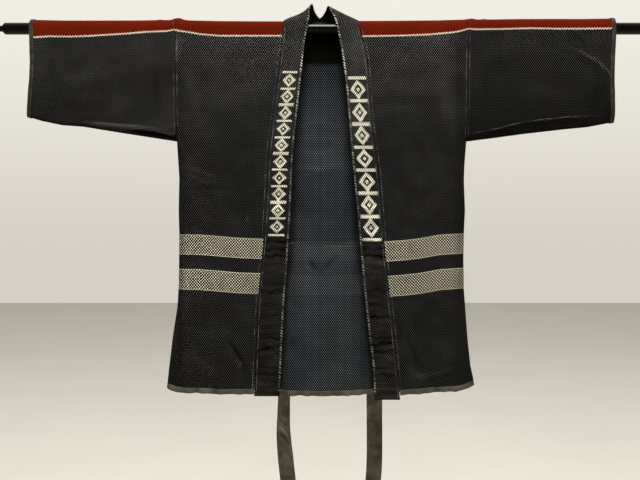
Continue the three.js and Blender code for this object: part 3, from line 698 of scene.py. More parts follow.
def outer_cloth(name, on_body, light_ramps, patches):
    finish = Finish(name, roughness=0.95, sheen=0.01)
    u, v = finish.places("cloth")
    grain = finish.grains(u, v, GRAIN_WIDE, GRAIN_TALL, *GRAIN_EDGE)
    if not on_body:
        rubbed = finish.ramp(u, -0.34, 0.0, RUBBED_FLAT, 0.0)
        grain = finish.calc("MULTIPLY_ADD", finish.calc("SUBTRACT", RUBBED_GRAIN, grain), rubbed, grain)
    plain = finish.ramp(finish.cloud(0.040, 5), *patches)
    ground = finish.mix(grain, GROUND, finish.mix(plain, GRAIN_DULL, GRAIN_WORN))
    blue = finish.calc("MULTIPLY", finish.ramp(finish.cloud(0.10, 3, offset=2.0), 0.5, 0.72), BLUISH_SHARE)
    ground = finish.mix(blue, ground, BLUISH)
    if on_body:
        # the left half of the body a little darker
        ground = woven_stripes(finish, finish.light_and_tone(ground, u, LEFT_HALF_DIMMER), u, v)
        # painted shade: the body darker along its side edges, where the cloth turns back to the side seam
        ground = finish.light_and_tone(ground, finish.calc("ABSOLUTE", u), SIDE_PAINTED_SHADE)
    else:
        # both sleeves darker, the left one more
        ground = finish.shade(ground, finish.ramp(u, -0.3, 0.3, *SLEEVE_HALVES_DIMMER))
        # painted light and shade low on the sleeves: the right sleeve lighter there, the left one darker
        underside_light = finish.ramp(u, -0.3, 0.3, *SLEEVE_UNDERSIDE_LIGHT)
        ground = finish.light_and_tone(ground, v, [(-0.185, -0.115, underside_light, 1.0)])
    # painted light from above, lighter towards the shoulders; then ridges paler, as wear and painted
    # highlight, and creases darker, as painted shade
    ground = finish.worn(finish.light_and_tone(ground, v, light_ramps), CLOTH_RIDGES_PALER, CLOTH_CREASES_DARKER)
    x, above = finish.places("trim")
    on_red = finish.ramp(above, -0.0003, 0.0003)
    colour = finish.mix(on_red, ground, finish.mix(grain, RED_DARK, RED_BRIGHT))
    from_foot = finish.calc("ADD", above, WHITE_LINE_HEIGHT / 2)
    line = finish.zigzag(x, from_foot, WHITE_LINE_PITCH, WHITE_LINE_HEIGHT)
    colour = finish.mix(line, colour, WHITE_LINE)
    finish.raise_by(grain, CLOTH_RELIEF)
    return finish.colour(finish.shade(colour, finish.ramp(finish.cloud(0.16, 4), 0.35, 0.7, 0.92, 1.08)))


outer_body = outer_cloth("outer_body", True, BODY_TOP_LIGHT, BODY_PATCHES)
outer_sleeve = outer_cloth("outer_sleeve", False, SLEEVE_TOP_LIGHT, SLEEVE_PATCHES)
print("finishes", outer_body.name, "and", outer_sleeve.name)

# %% [markdown]
# The inner face shows the blue ground yarn, so it is paler and bluer, and its grains lean one way on
# one side of the centre back and the other way on the other. One finish could serve both faces, but
# then the stripes would be as bright inside, where the real ones show only faintly. The top of the
# back is painted nearly black, as painted shadow under the rod and the collar.

# %% Finish of the inner cloth
INNER_GROUND, INNER_GRAIN = (0.0010, 0.0013, 0.0016), (0.160, 0.177, 0.194)
NECK_SHADE = (0.0012, 0.0012, 0.0010)
NECK_SHADE_END, NECK_SHADE_SOFT = -0.073, 0.006
INNER_LEAN, INNER_GRAIN_EDGE, INNER_RELIEF = 0.35, (0.45, 1.0), 0.0003
STRIPE_INSIDE, PAINTED_BAND_SHADOW = 1.36, 0.40
INNER_RIGHT_DIMMER = [(-0.045, 0.005, 0.88, 1.0)]
INNER_PAINTED_LIGHT = [(-0.310, -0.270, 0.88, 1.15), (-0.46, -0.40, 1.16, 1.0), (-0.21, -0.09, 1.04, 0.56),
               (-0.66, -0.58, 0.88, 1.0)]


def inner_cloth():
    finish = Finish("inner_cloth", roughness=0.95, sheen=0.01)
    u, v = finish.places("cloth")
    leaning = finish.calc("SUBTRACT", finish.calc("MULTIPLY", v, GRAIN_WIDE / GRAIN_TALL),
                          finish.calc("ABSOLUTE", u))
    upright = finish.calc("MULTIPLY", finish.wave(u, GRAIN_WIDE), finish.wave(v, GRAIN_TALL))
    field = finish.calc("MULTIPLY_ADD", finish.wave(leaning, GRAIN_WIDE), INNER_LEAN, upright)
    grain = finish.ramp(field, *INNER_GRAIN_EDGE)
    value_factor = finish.ramp(finish.cloud(0.05, 4, offset=3.0), 0.35, 0.7, 0.88, 1.17)
    colour = finish.shade(finish.mix(grain, INNER_GROUND, INNER_GRAIN), value_factor)
    for top, tall in STRIPES:
        through = finish.between(v, (top - tall) * MM, top * MM, 0.001)
        colour = finish.shade(colour, finish.calc("MULTIPLY_ADD", through, STRIPE_INSIDE - 1, 1.0))
    # painted shadow of the collar bands on the back: darkest under a band, fading out between them
    uncovered, _ = finish.places("cover")
    colour = finish.light_and_tone(colour, uncovered, [(-0.1, 1.0, PAINTED_BAND_SHADOW, 1.0)])
    # painted light and shade on the inner back: lighter and darker in rows by level, darkest towards the
    # neck; its right side a little darker
    colour = finish.light_and_tone(finish.light_and_tone(colour, u, INNER_RIGHT_DIMMER), v, INNER_PAINTED_LIGHT)
    # creases are listed as seen from outside, so a ridge there is a trough in here and is painted darker, as
    # painted shade, and a trough there is painted paler
    colour = finish.worn(colour, -0.5, -0.5)
    # painted shadow: the top of the back nearly black, under the rod and the collar
    by_neck = finish.ramp(v, NECK_SHADE_END - NECK_SHADE_SOFT, NECK_SHADE_END + NECK_SHADE_SOFT)
    finish.raise_by(grain, INNER_RELIEF)
    return finish.colour(finish.mix(by_neck, colour, NECK_SHADE))


inside = inner_cloth()
print("finish", inside.name)

# %% [markdown]
# Each body length is one strip of cloth, so it is one wall. It could be two sheets joined at the
# shoulder, but the real strip has no seam there. Its rows run from the front hem over the rod to the
# back hem, and its columns from the band's seam or the centre back out to the side.

# %% Rows and columns of a body length
BODY_ROW, OVER_STEPS = 4.0, 14
BODY_SHARES = np.concatenate([[0, 0.006, 0.012, 0.02, 0.03, 0.045], np.linspace(0.06, 1, 54)])
SHOULDER_BUMPS = {"right": [(302, 9, 3.6), (340, 5, 1.0)], "left": [(321, 8, 2.4), (348, 6, 1.2)]}
TOP_LIFT = {
    "right": steps([(129, 0), (214, 0.6), (278, 2.0), (303, 4.0), (320, 2.8), (342, 2.8), (384, 1.9),
                    (620, 1.5)]),
    "left": steps([(84, 0.9), (169, 1.3), (254, 2.1), (297, 3.6), (348, 3.8), (425, 5.0), (510, 5.2),
                   (620, 4.4)]),
}
SEAM_RIDGE, SEAM_RIDGE_WIDTH = 0.9, 8.0
COVER_REACH = steps([(-770, 8), (-560, 10), (-450, 18), (-100, 20)])
BACK_PANEL_SEAM, BACK_PANEL_STEP = -447.5, 1.5


def body_rows(face):
    """Levels from the hem up to the rod, closer together by the neck on the back."""
    count = int(-HEM_LEVEL / BODY_ROW)
    levels = np.linspace(HEM_LEVEL, 0, count)
    if face == "front":
        return np.unique(np.concatenate([levels, [-34, -20, -10, -5]]))
    by_seam = BACK_PANEL_SEAM + np.array([-2, -1, 0, 1, 2])
    return np.unique(np.concatenate([levels, np.linspace(-24.5, 0, 12), [-24.6], by_seam]))


def shoulder_bump(half_name, x):
    """The stiff cloth stands off the rod a little, most where the doubled armhole seam crosses it."""
    bumps = sum(rise * np.exp(-(((x - at) / width) ** 2)) for at, width, rise in SHOULDER_BUMPS[half_name])
    return bumps + TOP_LIFT[half_name](x)


def sheet_grid(face, half_name, levels, shares):
    """Points, cloth places, trim places, wear and painted shade, and cover of one hanging sheet."""
    half = HALVES[half_name]
    inner = inner_edge(half, face, levels)[:, None]
    outer = outer_edge(half, levels)[:, None]
    x = lerp(inner, outer, shares[None, :])
    level = np.broadcast_to(levels[:, None], x.shape)
    points = body_surface(face, half_name, x, level)
    cloth = np.stack([half["sign"] * x, cloth_place(face, half_name, x, points[..., 2])], -1) * MM
    trim = np.stack([half["sign"] * x, red_place(half_name, x, level)], -1) * MM
    wear_and_shade = wear_and_shade_of(creases_at(CREASES, face, half_name, x, points[..., 2]))
    uncovered = (half["band_edge_at"](level) - x) / COVER_REACH(level)
    return points, cloth, trim, np.stack([wear_and_shade, level], -1), np.stack([uncovered, level], -1)


def over_grid(half_name, shares):
    """The same for the stretch of a body length that lies over the rod, from front to back."""
    half = HALVES[half_name]
    angles = np.linspace(0, 180, OVER_STEPS + 1)[1:-1]
    inner = half["neck_width"] * neck_over_at(angles)[:, None]
    x = lerp(inner, half["shoulder_seam"], shares[None, :])
    turn = np.radians(np.broadcast_to(angles[:, None], x.shape))
    radius = OVER_ROD + shoulder_bump(half_name, x) * np.sin(turn) ** 2
    points = np.stack([half["sign"] * x, -radius * np.cos(turn), radius * np.sin(turn)], -1)
    path = OVER_ROD * np.minimum(turn, math.pi - turn)
    cloth = np.stack([half["sign"] * x, path], -1) * MM
    trim = np.stack([half["sign"] * x, red_place(half_name, x, path)], -1) * MM
    return points, cloth, trim, np.stack([path * 0, path], -1), np.stack([path * 0, path], -1)


print("rows of a body length", len(body_rows("front")) + OVER_STEPS - 1 + len(body_rows("back")))

# %% [markdown]
# Inside, the two lengths meet in a sewn ridge down the centre back, and the upper part of the back is
# a little thicker than the lower part. Both could be extra strips of mesh. As they are turned-in
# edges of the same cloth, the inner face of the wall is moved inwards there instead.

# %% Make the two body lengths
def body_length(half_name):
    front = sheet_grid("front", half_name, body_rows("front"), BODY_SHARES)
    back = sheet_grid("back", half_name, body_rows("back")[::-1], BODY_SHARES)
    over = over_grid(half_name, BODY_SHARES)
    middle, cloth, trim, wear_and_shade, cover = (np.concatenate(parts) for parts in zip(front, over, back))
    facing = facing_of(middle)
    facing[:, :, 0][:, [0, -1]] = 0
    facing /= np.linalg.norm(facing, axis=2, keepdims=True)
    if half_name == "left":
        facing = -facing
    x, level, behind = np.abs(middle[..., 0]), wear_and_shade[..., 1], middle[..., 1] > 0
    seam = SEAM_RIDGE * ease((SEAM_RIDGE_WIDTH - x) / 2.5) * ease(x / 1.2 + 0.3)
    panel = BACK_PANEL_STEP * ease((level - BACK_PANEL_SEAM) / 2) * ease((x - 1) / 2)
    inwards = (behind * ease((-24 - level) / 12) * (seam + panel))[..., None]
    outer, inner = middle + facing * WALL / 2, middle - facing * (WALL / 2 + inwards)
    layers = {"cloth": cloth, "trim": trim, "wear_and_shade": wear_and_shade, "cover": cover}
    piece = wall_mesh(f"coat_body_{half_name}", outer, inner, layers)
    dress(piece, [f"body_{half_name}"], "sashiko_cloth", outer_body, inside)


for half_name in HALVES:
    body_length(half_name)

# %% [markdown]
# A sleeve is a tube whose ring goes over the rod, down the front, round the fold under the arm and
# up the back. It tapers a little towards the cuff. It could be a cylinder pressed flat, but rings
# worked out one by one keep it open for the arm and level with the body at the armhole. Creases are
# listed for it as for the body.

# %% One ring of a sleeve
SLEEVE_SHARES = np.concatenate([[0, 0.008, 0.016, 0.03], np.linspace(0.045, 1, 72)])
SLEEVE_FRACTIONS = np.concatenate([np.linspace(0, 0.7, 34), np.linspace(0.71, 0.99, 52)])
UNDER_STEPS = 9


def sleeve_ring(half_name, share):
    """Points, cloth places, trim places, and wear and painted shade of one ring of a sleeve."""
    half = HALVES[half_name]

    def outwards(z):
        seam = outer_edge(half, np.maximum(z, ARMPIT)) + SEAM_GAP
        return lerp(seam, half["cuff_at"](z) - BINDING_WALL - BINDING_CLEARANCE, share)

    reach = outwards(np.array(ARMPIT))
    depth = lerp(*UNDERARM_DEPTH, share)
    bottom = half["underarm_at"](reach) + depth + WALL / 2
    lift = CUFF_LIFT * ease(1 - (half["cuff_at"](ARMPIT) - reach) / CUFF_LIFT_REACH)
    radius = OVER_ROD + lift

    def sheet(face, fractions):
        z = bottom * fractions
        x = outwards(z)
        full = hanging_depth(face, z) + lift
        y = lerp(depth, full, swell((z - bottom) / UNDERARM_ROUND))
        loose = ease(share / 0.06) * ease((1 - share) / 0.06)
        crease = creases_at(SLEEVE_CREASES, face, half_name, x, z)
        y, wear_and_shade = y + loose * crease, wear_and_shade_of(crease)
        soft = ease(-z / 60) * ease((z - bottom) / 30)
        side = -300.0 if face == "front" else 300.0
        y = y + loose * soft * ripple(x * half["sign"], z * 0 + side, z, RIPPLE_SCALE, RIPPLE_HEIGHT)
        above_fold = ease((z - bottom - 1.5) / 5)
        for ledge_face, ledge_half, line, above, below in LEDGES:
            if (ledge_face, ledge_half) == (face, half_name):
                y = y + above_fold * ledge_along(line, above, below, x, z)
                # painted highlight on the ledge's edge and painted shade on the cloth under it
                edge = ledge_light_and_shade(line, x, z)
                wear_and_shade = wear_and_shade + np.where(edge > 0, min(above / 4, 1), below / 7) * edge
        y = np.maximum(y, depth)
        return x, (-y if face == "front" else y), z, z, wear_and_shade

    turn = np.radians(np.linspace(180, 0, OVER_STEPS + 1)[1:-1])
    over_radius = radius + shoulder_bump(half_name, reach) * np.sin(turn) ** 2
    over_z = over_radius * np.sin(turn)
    over_path = radius * np.minimum(turn, math.pi - turn)
    over = (outwards(over_z), -over_radius * np.cos(turn), over_z, over_path, over_path * 0)
    under_turn = np.radians(np.linspace(0, 180, UNDER_STEPS))
    under_z = bottom - depth * np.sin(under_turn)
    # the fold under the sleeve is painted darker, as painted shade
    under = (outwards(under_z), -depth * np.cos(under_turn), under_z, under_z, under_z * 0 - 0.6)
    strips = [over, sheet("front", SLEEVE_FRACTIONS), under, sheet("back", SLEEVE_FRACTIONS[::-1])]
    x, y, z, path, wear_and_shade = (np.concatenate(parts) for parts in zip(*strips))
    points = np.stack([half["sign"] * x, y, z], -1)
    cloth = np.stack([half["sign"] * x, path], -1) * MM
    trim = np.stack([half["sign"] * x, red_place(half_name, x, path)], -1) * MM
    return points, cloth, trim, np.stack([wear_and_shade, path], -1)


print("points round a sleeve", len(sleeve_ring("right", 0.0)[0]))

# %% [markdown]
# The rings are stacked into a tube from the armhole to the cuff. Its wall could be given its thickness
# along the normals of the mesh, but those lean outwards at the two open ends, so each ring's facings
# are kept in the ring's own plane.

# %% Make the two sleeves
def ring_facing(grid):
    """Outward directions of each ring, without leaving its own x."""
    step = np.roll(grid, -1, axis=1) - np.roll(grid, 1, axis=1)
    facing = np.stack([step[..., 0] * 0, step[..., 2], -step[..., 1]], -1)
    return facing / np.linalg.norm(facing, axis=2, keepdims=True)


def sleeve(half_name):
    rings = [sleeve_ring(half_name, share) for share in SLEEVE_SHARES]
    middle, cloth, trim, wear_and_shade = (np.stack(parts) for parts in zip(*rings))
    facing = ring_facing(middle)
    outer, inner = middle + facing * WALL / 2, middle - facing * WALL / 2
    layers = {"cloth": cloth, "trim": trim, "wear_and_shade": wear_and_shade}
    piece = wall_mesh(f"coat_sleeve_{half_name}", outer, inner, layers, tube=True)
    dress(piece, [f"sleeve_{half_name}"], "sashiko_cloth", outer_sleeve, inside)
    return outer, facing


sleeve_surfaces = {half_name: sleeve(half_name) for half_name in HALVES}

# %% [markdown]
# The collar is one long band folded double. It lies up both fronts, folds over a slanting crest beside
# the neck and sinks behind it. It could be a curve with a flat section, but a section can't change
# its slant so freely. So its two edges are set instead, listed round the crest and read from the tables
# further down, and a smooth curve through each of them carries the band from hem to hem.

# %% Sizes of the collar
FREE_RISE = steps([(-791, 0), (-180, 0), (-90, 9), (-45, 18), (0, 27)])
# the free edge over the crest: angle over the rod, x, y, z
CREST_EDGE = [(30, 20.5, -12, 38.5), (60, 18, -8, 47), (90, 16.5, -1, 50.6), (120, 15, 6, 48.6),
              (150, 13, 11, 43)]
# the free edge behind the neck: level of the seam, x, y, z
SUNK_EDGE = [(0, 10.0, 14, 37), (-9, 6.5, 15.5, 32.0), (-16, 3.5, 16, 28.5), (-21, 0.6, 16.3, 26.8)]
COLLAR_MIDDLE = (-1.5, 16.5, 26)
NECK_DEPTH = -24.5
BAND_LEVELS = [HEM_LEVEL, -715, -640, -560, -480, -400, -330, -280, -242, -222, -180, -135, -90, -45, 0]
BAND_LIFT = (BAND_WALL - WALL) / 2


def collar_edges(half_name):
    """The collar's seam points and free points, from the hem to the neck."""
    half = HALVES[half_name]
    sign = half["sign"]
    seams, frees = [], []
    for level in BAND_LEVELS:
        x = float(half["band_seam_at"](level))
        y, z = body_surface("front", half_name, [x], [level], BAND_LIFT)[0, 1:]
        if level == HEM_LEVEL:
            z = half["band_end"]
        free_z = z + float(FREE_RISE(level))
        seams.append((sign * x, y, z))
        frees.append((sign * float(half["band_edge_at"](free_z)), y, free_z))
    radius = OVER_ROD + BAND_LIFT
    for angle, x, y, z in CREST_EDGE:
        turn = math.radians(angle)
        reach = half["neck_width"] * float(neck_over_at(angle))
        seams.append((sign * reach, -radius * math.cos(turn), radius * math.sin(turn)))
        frees.append((sign * x, y, z + half["crest_lift"] * math.sin(turn)))
    for level, x, y, z in SUNK_EDGE:
        reach = half["neck_width"] * float(neck_back_at(level))
        seams.append((sign * reach, hanging_depth("back", level) + BAND_LIFT, level))
        frees.append((sign * x, y, z))
    return seams, frees


def curve_through(points, parameter, at):
    """A smooth curve through points, with level ends, read at many places."""
    points = np.array(points, float)
    slope = np.gradient(points, parameter, axis=0)
    i = np.clip(np.searchsorted(parameter, at) - 1, 0, len(parameter) - 2)
    span = (parameter[i + 1] - parameter[i])[:, None]
    t = ((at - parameter[i])[:, None]) / span
    start, end = points[i], points[i + 1]
    lead, trail = slope[i] * span, slope[i + 1] * span
    return (start * (2 * t**3 - 3 * t**2 + 1) + lead * (t**3 - 2 * t**2 + t)
            + end * (3 * t**2 - 2 * t**3) + trail * (t**3 - t**2))


print("points along each edge of the band", 2 * len(collar_edges("right")[0]) + 1)

# %% [markdown]
# The fronts of the band carry a column of pale lozenges and bars, woven in the same grains. It is a
# plain pattern of this kind of cloth, larger on one front than on the other. It could be a picture laid
# on the mesh, but worked out from places on the cloth it stays sharp from near and can be changed by
# one number.

# %% Finish of the collar
BAND_GROUND, BAND_GRAIN = (0.0010, 0.0010, 0.0009), (0.057, 0.056, 0.050)
BAND_GRAIN_WIDE, BAND_GRAIN_TALL = 0.0049, 0.0069
MOTIF_PALE, MOTIF_DARK = (0.86, 0.82, 0.66), (0.030, 0.028, 0.020)
BAND_MIDDLE = 0.0275
MOTIF_TOP = {"right": -0.098, "left": -0.110}
MOTIF_STEP = {"right": 0.0345, "left": 0.0490}
MOTIF_COUNT = {"right": 10, "left": 7}
MOTIF_HALF_WIDTH = {"right": 0.0180, "left": 0.0215}
MOTIF_CELL = 0.0022
LOZENGE, LOZENGE_HEART, BAR_TALL, BAR_WIDE = (0.46, 0.86), (0.20, 0.24), (0.12, 0.16), (0.95, 1.0)
COLUMN_START, COLUMN_END = (-0.0030, -0.0026), 0.0028
BAND_TOP_LIGHT = {"right": 1.95, "left": 2.45}
BAND_RELIEF, BAND_RIDGES_PALER, BAND_CREASES_DARKER = 0.0004, 1.1, 0.8
BAND_INSIDE_GROUND, BAND_INSIDE_GRAIN = (0.0008, 0.0008, 0.0007), (0.0040, 0.0040, 0.0036)


def by_half(finish, x, sizes):
    """A size that differs between the two fronts of the band."""
    left = finish.calc("GREATER_THAN", x, 0.0)
    return finish.calc("MULTIPLY_ADD", left, sizes["left"] - sizes["right"], sizes["right"])


def woven_column(finish, x, across, level):
    """1 on the lozenges and bars. Places are snapped to cells, for the stepped edges of weaving."""
    snapped = finish.calc("SNAP", finish.calc("ADD", across, MOTIF_CELL / 2), MOTIF_CELL)
    side = finish.calc("ABSOLUTE", finish.calc("SUBTRACT", snapped, BAND_MIDDLE))
    top = by_half(finish, x, MOTIF_TOP)
    down = finish.calc("SUBTRACT", top, finish.calc("SNAP", level, MOTIF_CELL))
    half_step = finish.calc("MULTIPLY", by_half(finish, x, MOTIF_STEP), 0.5)
    wide = finish.calc("DIVIDE", side, by_half(finish, x, MOTIF_HALF_WIDTH))
    tall = finish.calc("DIVIDE", finish.calc("PINGPONG", down, half_step), half_step)
    reach = finish.calc("ADD", wide, finish.calc("SUBTRACT", 1.0, tall))
    lozenge = finish.between(reach, *LOZENGE, 0.02)
    heart = finish.ramp(reach, *LOZENGE_HEART, 1.0, 0.0)
    low = finish.ramp(tall, *BAR_TALL, 1.0, 0.0)
    narrow = finish.ramp(wide, *BAR_WIDE, 1.0, 0.0)
    bar = finish.calc("MULTIPLY", low, narrow)
    motif = finish.calc("MAXIMUM", finish.calc("MAXIMUM", lozenge, heart), bar)
    lengths = {name: MOTIF_STEP[name] * MOTIF_COUNT[name] for name in MOTIF_STEP}
    end = finish.calc("ADD", by_half(finish, x, lengths), COLUMN_END)
    before_end = finish.calc("LESS_THAN", down, end)
    inside_column = finish.calc("MULTIPLY", finish.ramp(down, *COLUMN_START), before_end)
    return finish.calc("MULTIPLY", motif, inside_column)


def band_finish():
    finish = Finish("band_cloth", roughness=0.95, sheen=0.01)
    across, along = finish.places("cloth")
    x, level = finish.places("trim")
    grain = finish.grains(across, along, BAND_GRAIN_WIDE, BAND_GRAIN_TALL, 0.15, 0.6)
    value_factor = finish.ramp(finish.cloud(0.04, 4, offset=7.0), 0.35, 0.7, 0.70, 1.25)
    colour = finish.shade(finish.mix(grain, BAND_GROUND, BAND_GRAIN), value_factor)
    # painted light from above: the band lighter towards its top, more on the left front
    light_and_tone = by_half(finish, x, BAND_TOP_LIGHT)
    colour = finish.light_and_tone(colour, level, [(-0.32, -0.03, 1.0, light_and_tone)])
    motif = woven_column(finish, x, across, level)
    moved = finish.calc("ADD", along, GRAIN_TALL / 2)
    dots = finish.grains(across, moved, GRAIN_WIDE, GRAIN_TALL, -0.35, 0.1)
    colour = finish.mix(motif, colour, finish.mix(dots, MOTIF_DARK, MOTIF_PALE))
    finish.raise_by(finish.calc("MAXIMUM", grain, motif), BAND_RELIEF)
    # painted light and shade: puckers paler on their crests, puckers and creases darker in their hollows
    return finish.colour(finish.worn(colour, BAND_RIDGES_PALER, BAND_CREASES_DARKER))


def band_inside_finish():
    finish = Finish("band_inside", roughness=0.95, sheen=0.0)
    across, along = finish.places("cloth")
    grain = finish.grains(across, along, BAND_GRAIN_WIDE, BAND_GRAIN_TALL)
    finish.raise_by(grain, INNER_RELIEF)
    return finish.colour(finish.mix(grain, BAND_INSIDE_GROUND, BAND_INSIDE_GRAIN))


band, band_inside = band_finish(), band_inside_finish()
print("finishes", band.name, "and", band_inside.name)

# %% [markdown]
# The band is stiff where it folds over the neck, and puckered lower down, where sewing has drawn it
# up. The puckers could be painted as shade alone, but raised a millimetre they catch the light from
# every side. A few deeper creases run across each front.

# %% The relief of the band
COLLAR_STEP, COLLAR_ACROSS = 2.5, 18
EDGE_ROUND = 2.2
PUCKER_HEIGHT, PUCKER_SCALE, PUCKER_SPREAD = 1.2, 9.0, 12
PUCKER_FADE = 0.12
PUCKERS_START, PUCKERS_FULL, PUCKERS_LEAST = 300, 400, 0.25
SEAM_BEHIND = -0.4
BAND_CREASES = [(-456, 2.4, -1.3), (-469, 2.2, -1.0), (-486, 3.0, -1.4), (-500, 2.4, 0.8), (-560, 3.0, -0.8),
                (-612, 2.6, -0.9), (-660, 2.4, -1.0), (-672, 2.4, -1.4), (-688, 2.2, -1.0), (-738, 3.0, -1.1)]


def band_relief(middle, shares, run):
    """Puckers along the band and creases across it, as heights over its middle."""
    puckers = ripple(run * 0 + shares[None, :] * PUCKER_SPREAD, run * 0, run, PUCKER_SCALE, PUCKER_HEIGHT)
    puckers = puckers * ease(shares / PUCKER_FADE)[None, :] * ease((1 - shares) / PUCKER_FADE)[None, :]
    low = ease((np.abs(run - run.max() / 2) - PUCKERS_START) / PUCKERS_FULL)
    wavy = middle[..., 2] + ripple(middle[..., 0], middle[..., 1] * 0, middle[..., 2] * 0.4, 14.0, 9.0)
    creases = sum(rise * np.exp(-(((wavy - level) / width) ** 2)) for level, width, rise in BAND_CREASES)
    return puckers * (PUCKERS_LEAST + (1 - PUCKERS_LEAST) * low) + creases * (middle[..., 1] < 0)


def band_edges():
    """The run along the band and its two edges, as smooth curves from hem to hem."""
    seams_right, frees_right = collar_edges("right")
    seams_left, frees_left = collar_edges("left")
    seam_middle = (0, hanging_depth("back", NECK_DEPTH) + BAND_LIFT, NECK_DEPTH + BAND_GAP)
    seams = np.array(seams_right + [seam_middle] + seams_left[::-1], float)
    frees = np.array(frees_right + [COLLAR_MIDDLE] + frees_left[::-1], float)
    inwards = frees - seams
    gap = np.where(seams[:, 1] > 10, SEAM_BEHIND, BAND_GAP)[:, None]
    seams = seams + gap * inwards / np.linalg.norm(inwards, axis=1, keepdims=True)
    step = np.linalg.norm(np.diff((seams + frees) / 2, axis=0), axis=1)
    parameter = np.concatenate([[0], np.cumsum(step)])
    at = np.linspace(0, parameter[-1], int(parameter[-1] / COLLAR_STEP))
    at = np.unique(np.concatenate([at, parameter]))
    return at, curve_through(seams, parameter, at), curve_through(frees, parameter, at)


band_run, band_seam, band_free = band_edges()
print("the band runs", round(band_run[-1] * MM, 3), "m")

# %% [markdown]
# The band is laid between its two edges as one wall, thick in the middle and rounded at both edges, as
# a fold is. A flat strip with sharp edges would be quicker, but the rounded edge is what shows against
# the neck. The crest sags a little where the cloth bends over the rod.

# %% Make the collar
def collar():
    at, seam, free = band_run, band_seam, band_free
    shares = np.concatenate([[0, 0.015, 0.04], np.linspace(0.08, 0.92, COLLAR_ACROSS), [0.96, 0.985, 1]])
    middle = seam[:, None] * (1 - shares)[None, :, None] + free[:, None] * shares[None, :, None]
    sag = np.where(seam[:, 0] < 0, HALVES["right"]["crest_sag"], HALVES["left"]["crest_sag"])
    middle[..., 2] -= (sag * ease(seam[:, 2] / 12))[:, None] * (shares**2 * (1 - shares))[None, :]
    width = np.linalg.norm(free - seam, axis=1)[:, None]
    facing = facing_of(middle)
    flip = np.sign(facing[0, 0, 1])
    facing = -flip * facing
    from_edge = np.minimum(shares, 1 - shares)[None, :] * width
    half_wall = BAND_WALL / 2 * np.sqrt(1 - (1 - np.clip(from_edge / EDGE_ROUND, 0.15, 1)) ** 2)
    run = np.broadcast_to(at[:, None], middle.shape[:2])
    soft = ripple(middle[..., 0], middle[..., 1], middle[..., 2], 45.0, 0.35)
    relief = band_relief(middle, shares, run)
    middle = middle + facing * (soft + relief)[..., None]
    outer = middle + facing * half_wall[..., None]
    inner = middle - facing * half_wall[..., None]
    across = np.broadcast_to(shares[None, :] * 2 * BAND_MIDDLE, width.shape[:1] + shares.shape)
    lean = ((free - seam) * np.gradient((free + seam) / 2, at, axis=0)).sum(1)[:, None]
    along = (at[:, None] + lean * (shares[None, :] - 0.5)) * MM
    front = np.where(middle[..., 1] < 0, middle[..., 2], 0) * MM
    piece = wall_mesh("coat_collar", outer, inner, {
        "cloth": np.stack([across, along], -1),
        "trim": np.stack([middle[..., 0] * MM, front], -1),
        # puckers and creases, for painted light on their crests and painted shade in their hollows
        "wear_and_shade": np.stack([relief / PUCKER_HEIGHT, front], -1),
    })
    dress(piece, ["collar"], "band_cloth", band, band_inside)
    return outer, facing


collar_outer, collar_facing = collar()

# %% [markdown]
# Bindings and ties are plain olive-grey cotton, finer than the quilted cloth. One flat colour would do
# from far away. From near, old cotton is uneven, with wide worn patches and small blotches, so both
# are mixed with a fine plain weave. One finish with three pairs of colours serves hem, cuffs and ties.

# %% Finish of the bindings and ties
YARN = 0.0011
WEAVE_SHARE, WORN_SHARE, BLOTCH_SHARE = 0.25, 0.5, 0.25
COTTON_RELIEF, COTTON_RIDGES_PALER, COTTON_CREASES_DARKER = 0.00015, 0.9, 0.8


def plain_cotton(name, dark, light):
    finish = Finish(name, roughness=0.9, sheen=0.06)
    u, v = finish.places("cloth")
    weave = finish.calc("MULTIPLY", finish.wave(u, YARN), finish.wave(v, YARN))
    weave = finish.ramp(weave, -1, 1)
    worn = finish.ramp(finish.cloud(0.035, 5), 0.3, 0.75)
    blotch = finish.ramp(finish.cloud(0.012, 3, offset=5.0), 0.3, 0.8)
    share = finish.calc("MULTIPLY_ADD", worn, WORN_SHARE, finish.calc("MULTIPLY", blotch, BLOTCH_SHARE))
    share = finish.calc("MULTIPLY_ADD", weave, WEAVE_SHARE, share)
    finish.raise_by(finish.calc("MULTIPLY_ADD", blotch, 3.0, weave), COTTON_RELIEF)
    colour = finish.mix(share, dark, light)
    return finish.colour(finish.worn(colour, COTTON_RIDGES_PALER, COTTON_CREASES_DARKER))


hem_cotton = plain_cotton("hem_cotton", (0.024, 0.022, 0.016), (0.098, 0.091, 0.072))
cuff_cotton = plain_cotton("cuff_cotton", (0.018, 0.0165, 0.0105), (0.052, 0.048, 0.032))
tie_cotton = plain_cotton("tie_cotton", (0.024, 0.022, 0.013), (0.108, 0.100, 0.070))
print("finishes", hem_cotton.name, cuff_cotton.name, tie_cotton.name)

# %% [markdown]
# A binding is a strip folded over the raw edge of the cloth. It could be a bevelled edge of the cloth
# itself, but the real one is another piece with its own colour. Its section is a soft U, laid on the
# same surface as the cloth and moved out. The cuffs come first: their U is carried round the last ring
# of the sleeve.

# %% Fold the cuff bindings
U_TURNS = 8


def u_section(reach):
    """Places round a binding's section: (share out of the cloth, rise from its edge), in two layers."""
    near = WALL / 2 + BINDING_CLEARANCE
    far = near + BINDING_WALL
    layers = []
    for radius in (far, near):
        turns = np.radians(np.linspace(0, 180, U_TURNS + 1))
        leg = np.linspace(reach, 0, 5)[:-1]
        out = np.concatenate([np.full(4, radius), radius * np.cos(turns), np.full(4, -radius)])
        rise = np.concatenate([leg, -(radius - near + BINDING_CLEARANCE) * np.sin(turns), leg[::-1]])
        layers.append((out, rise))
    return layers


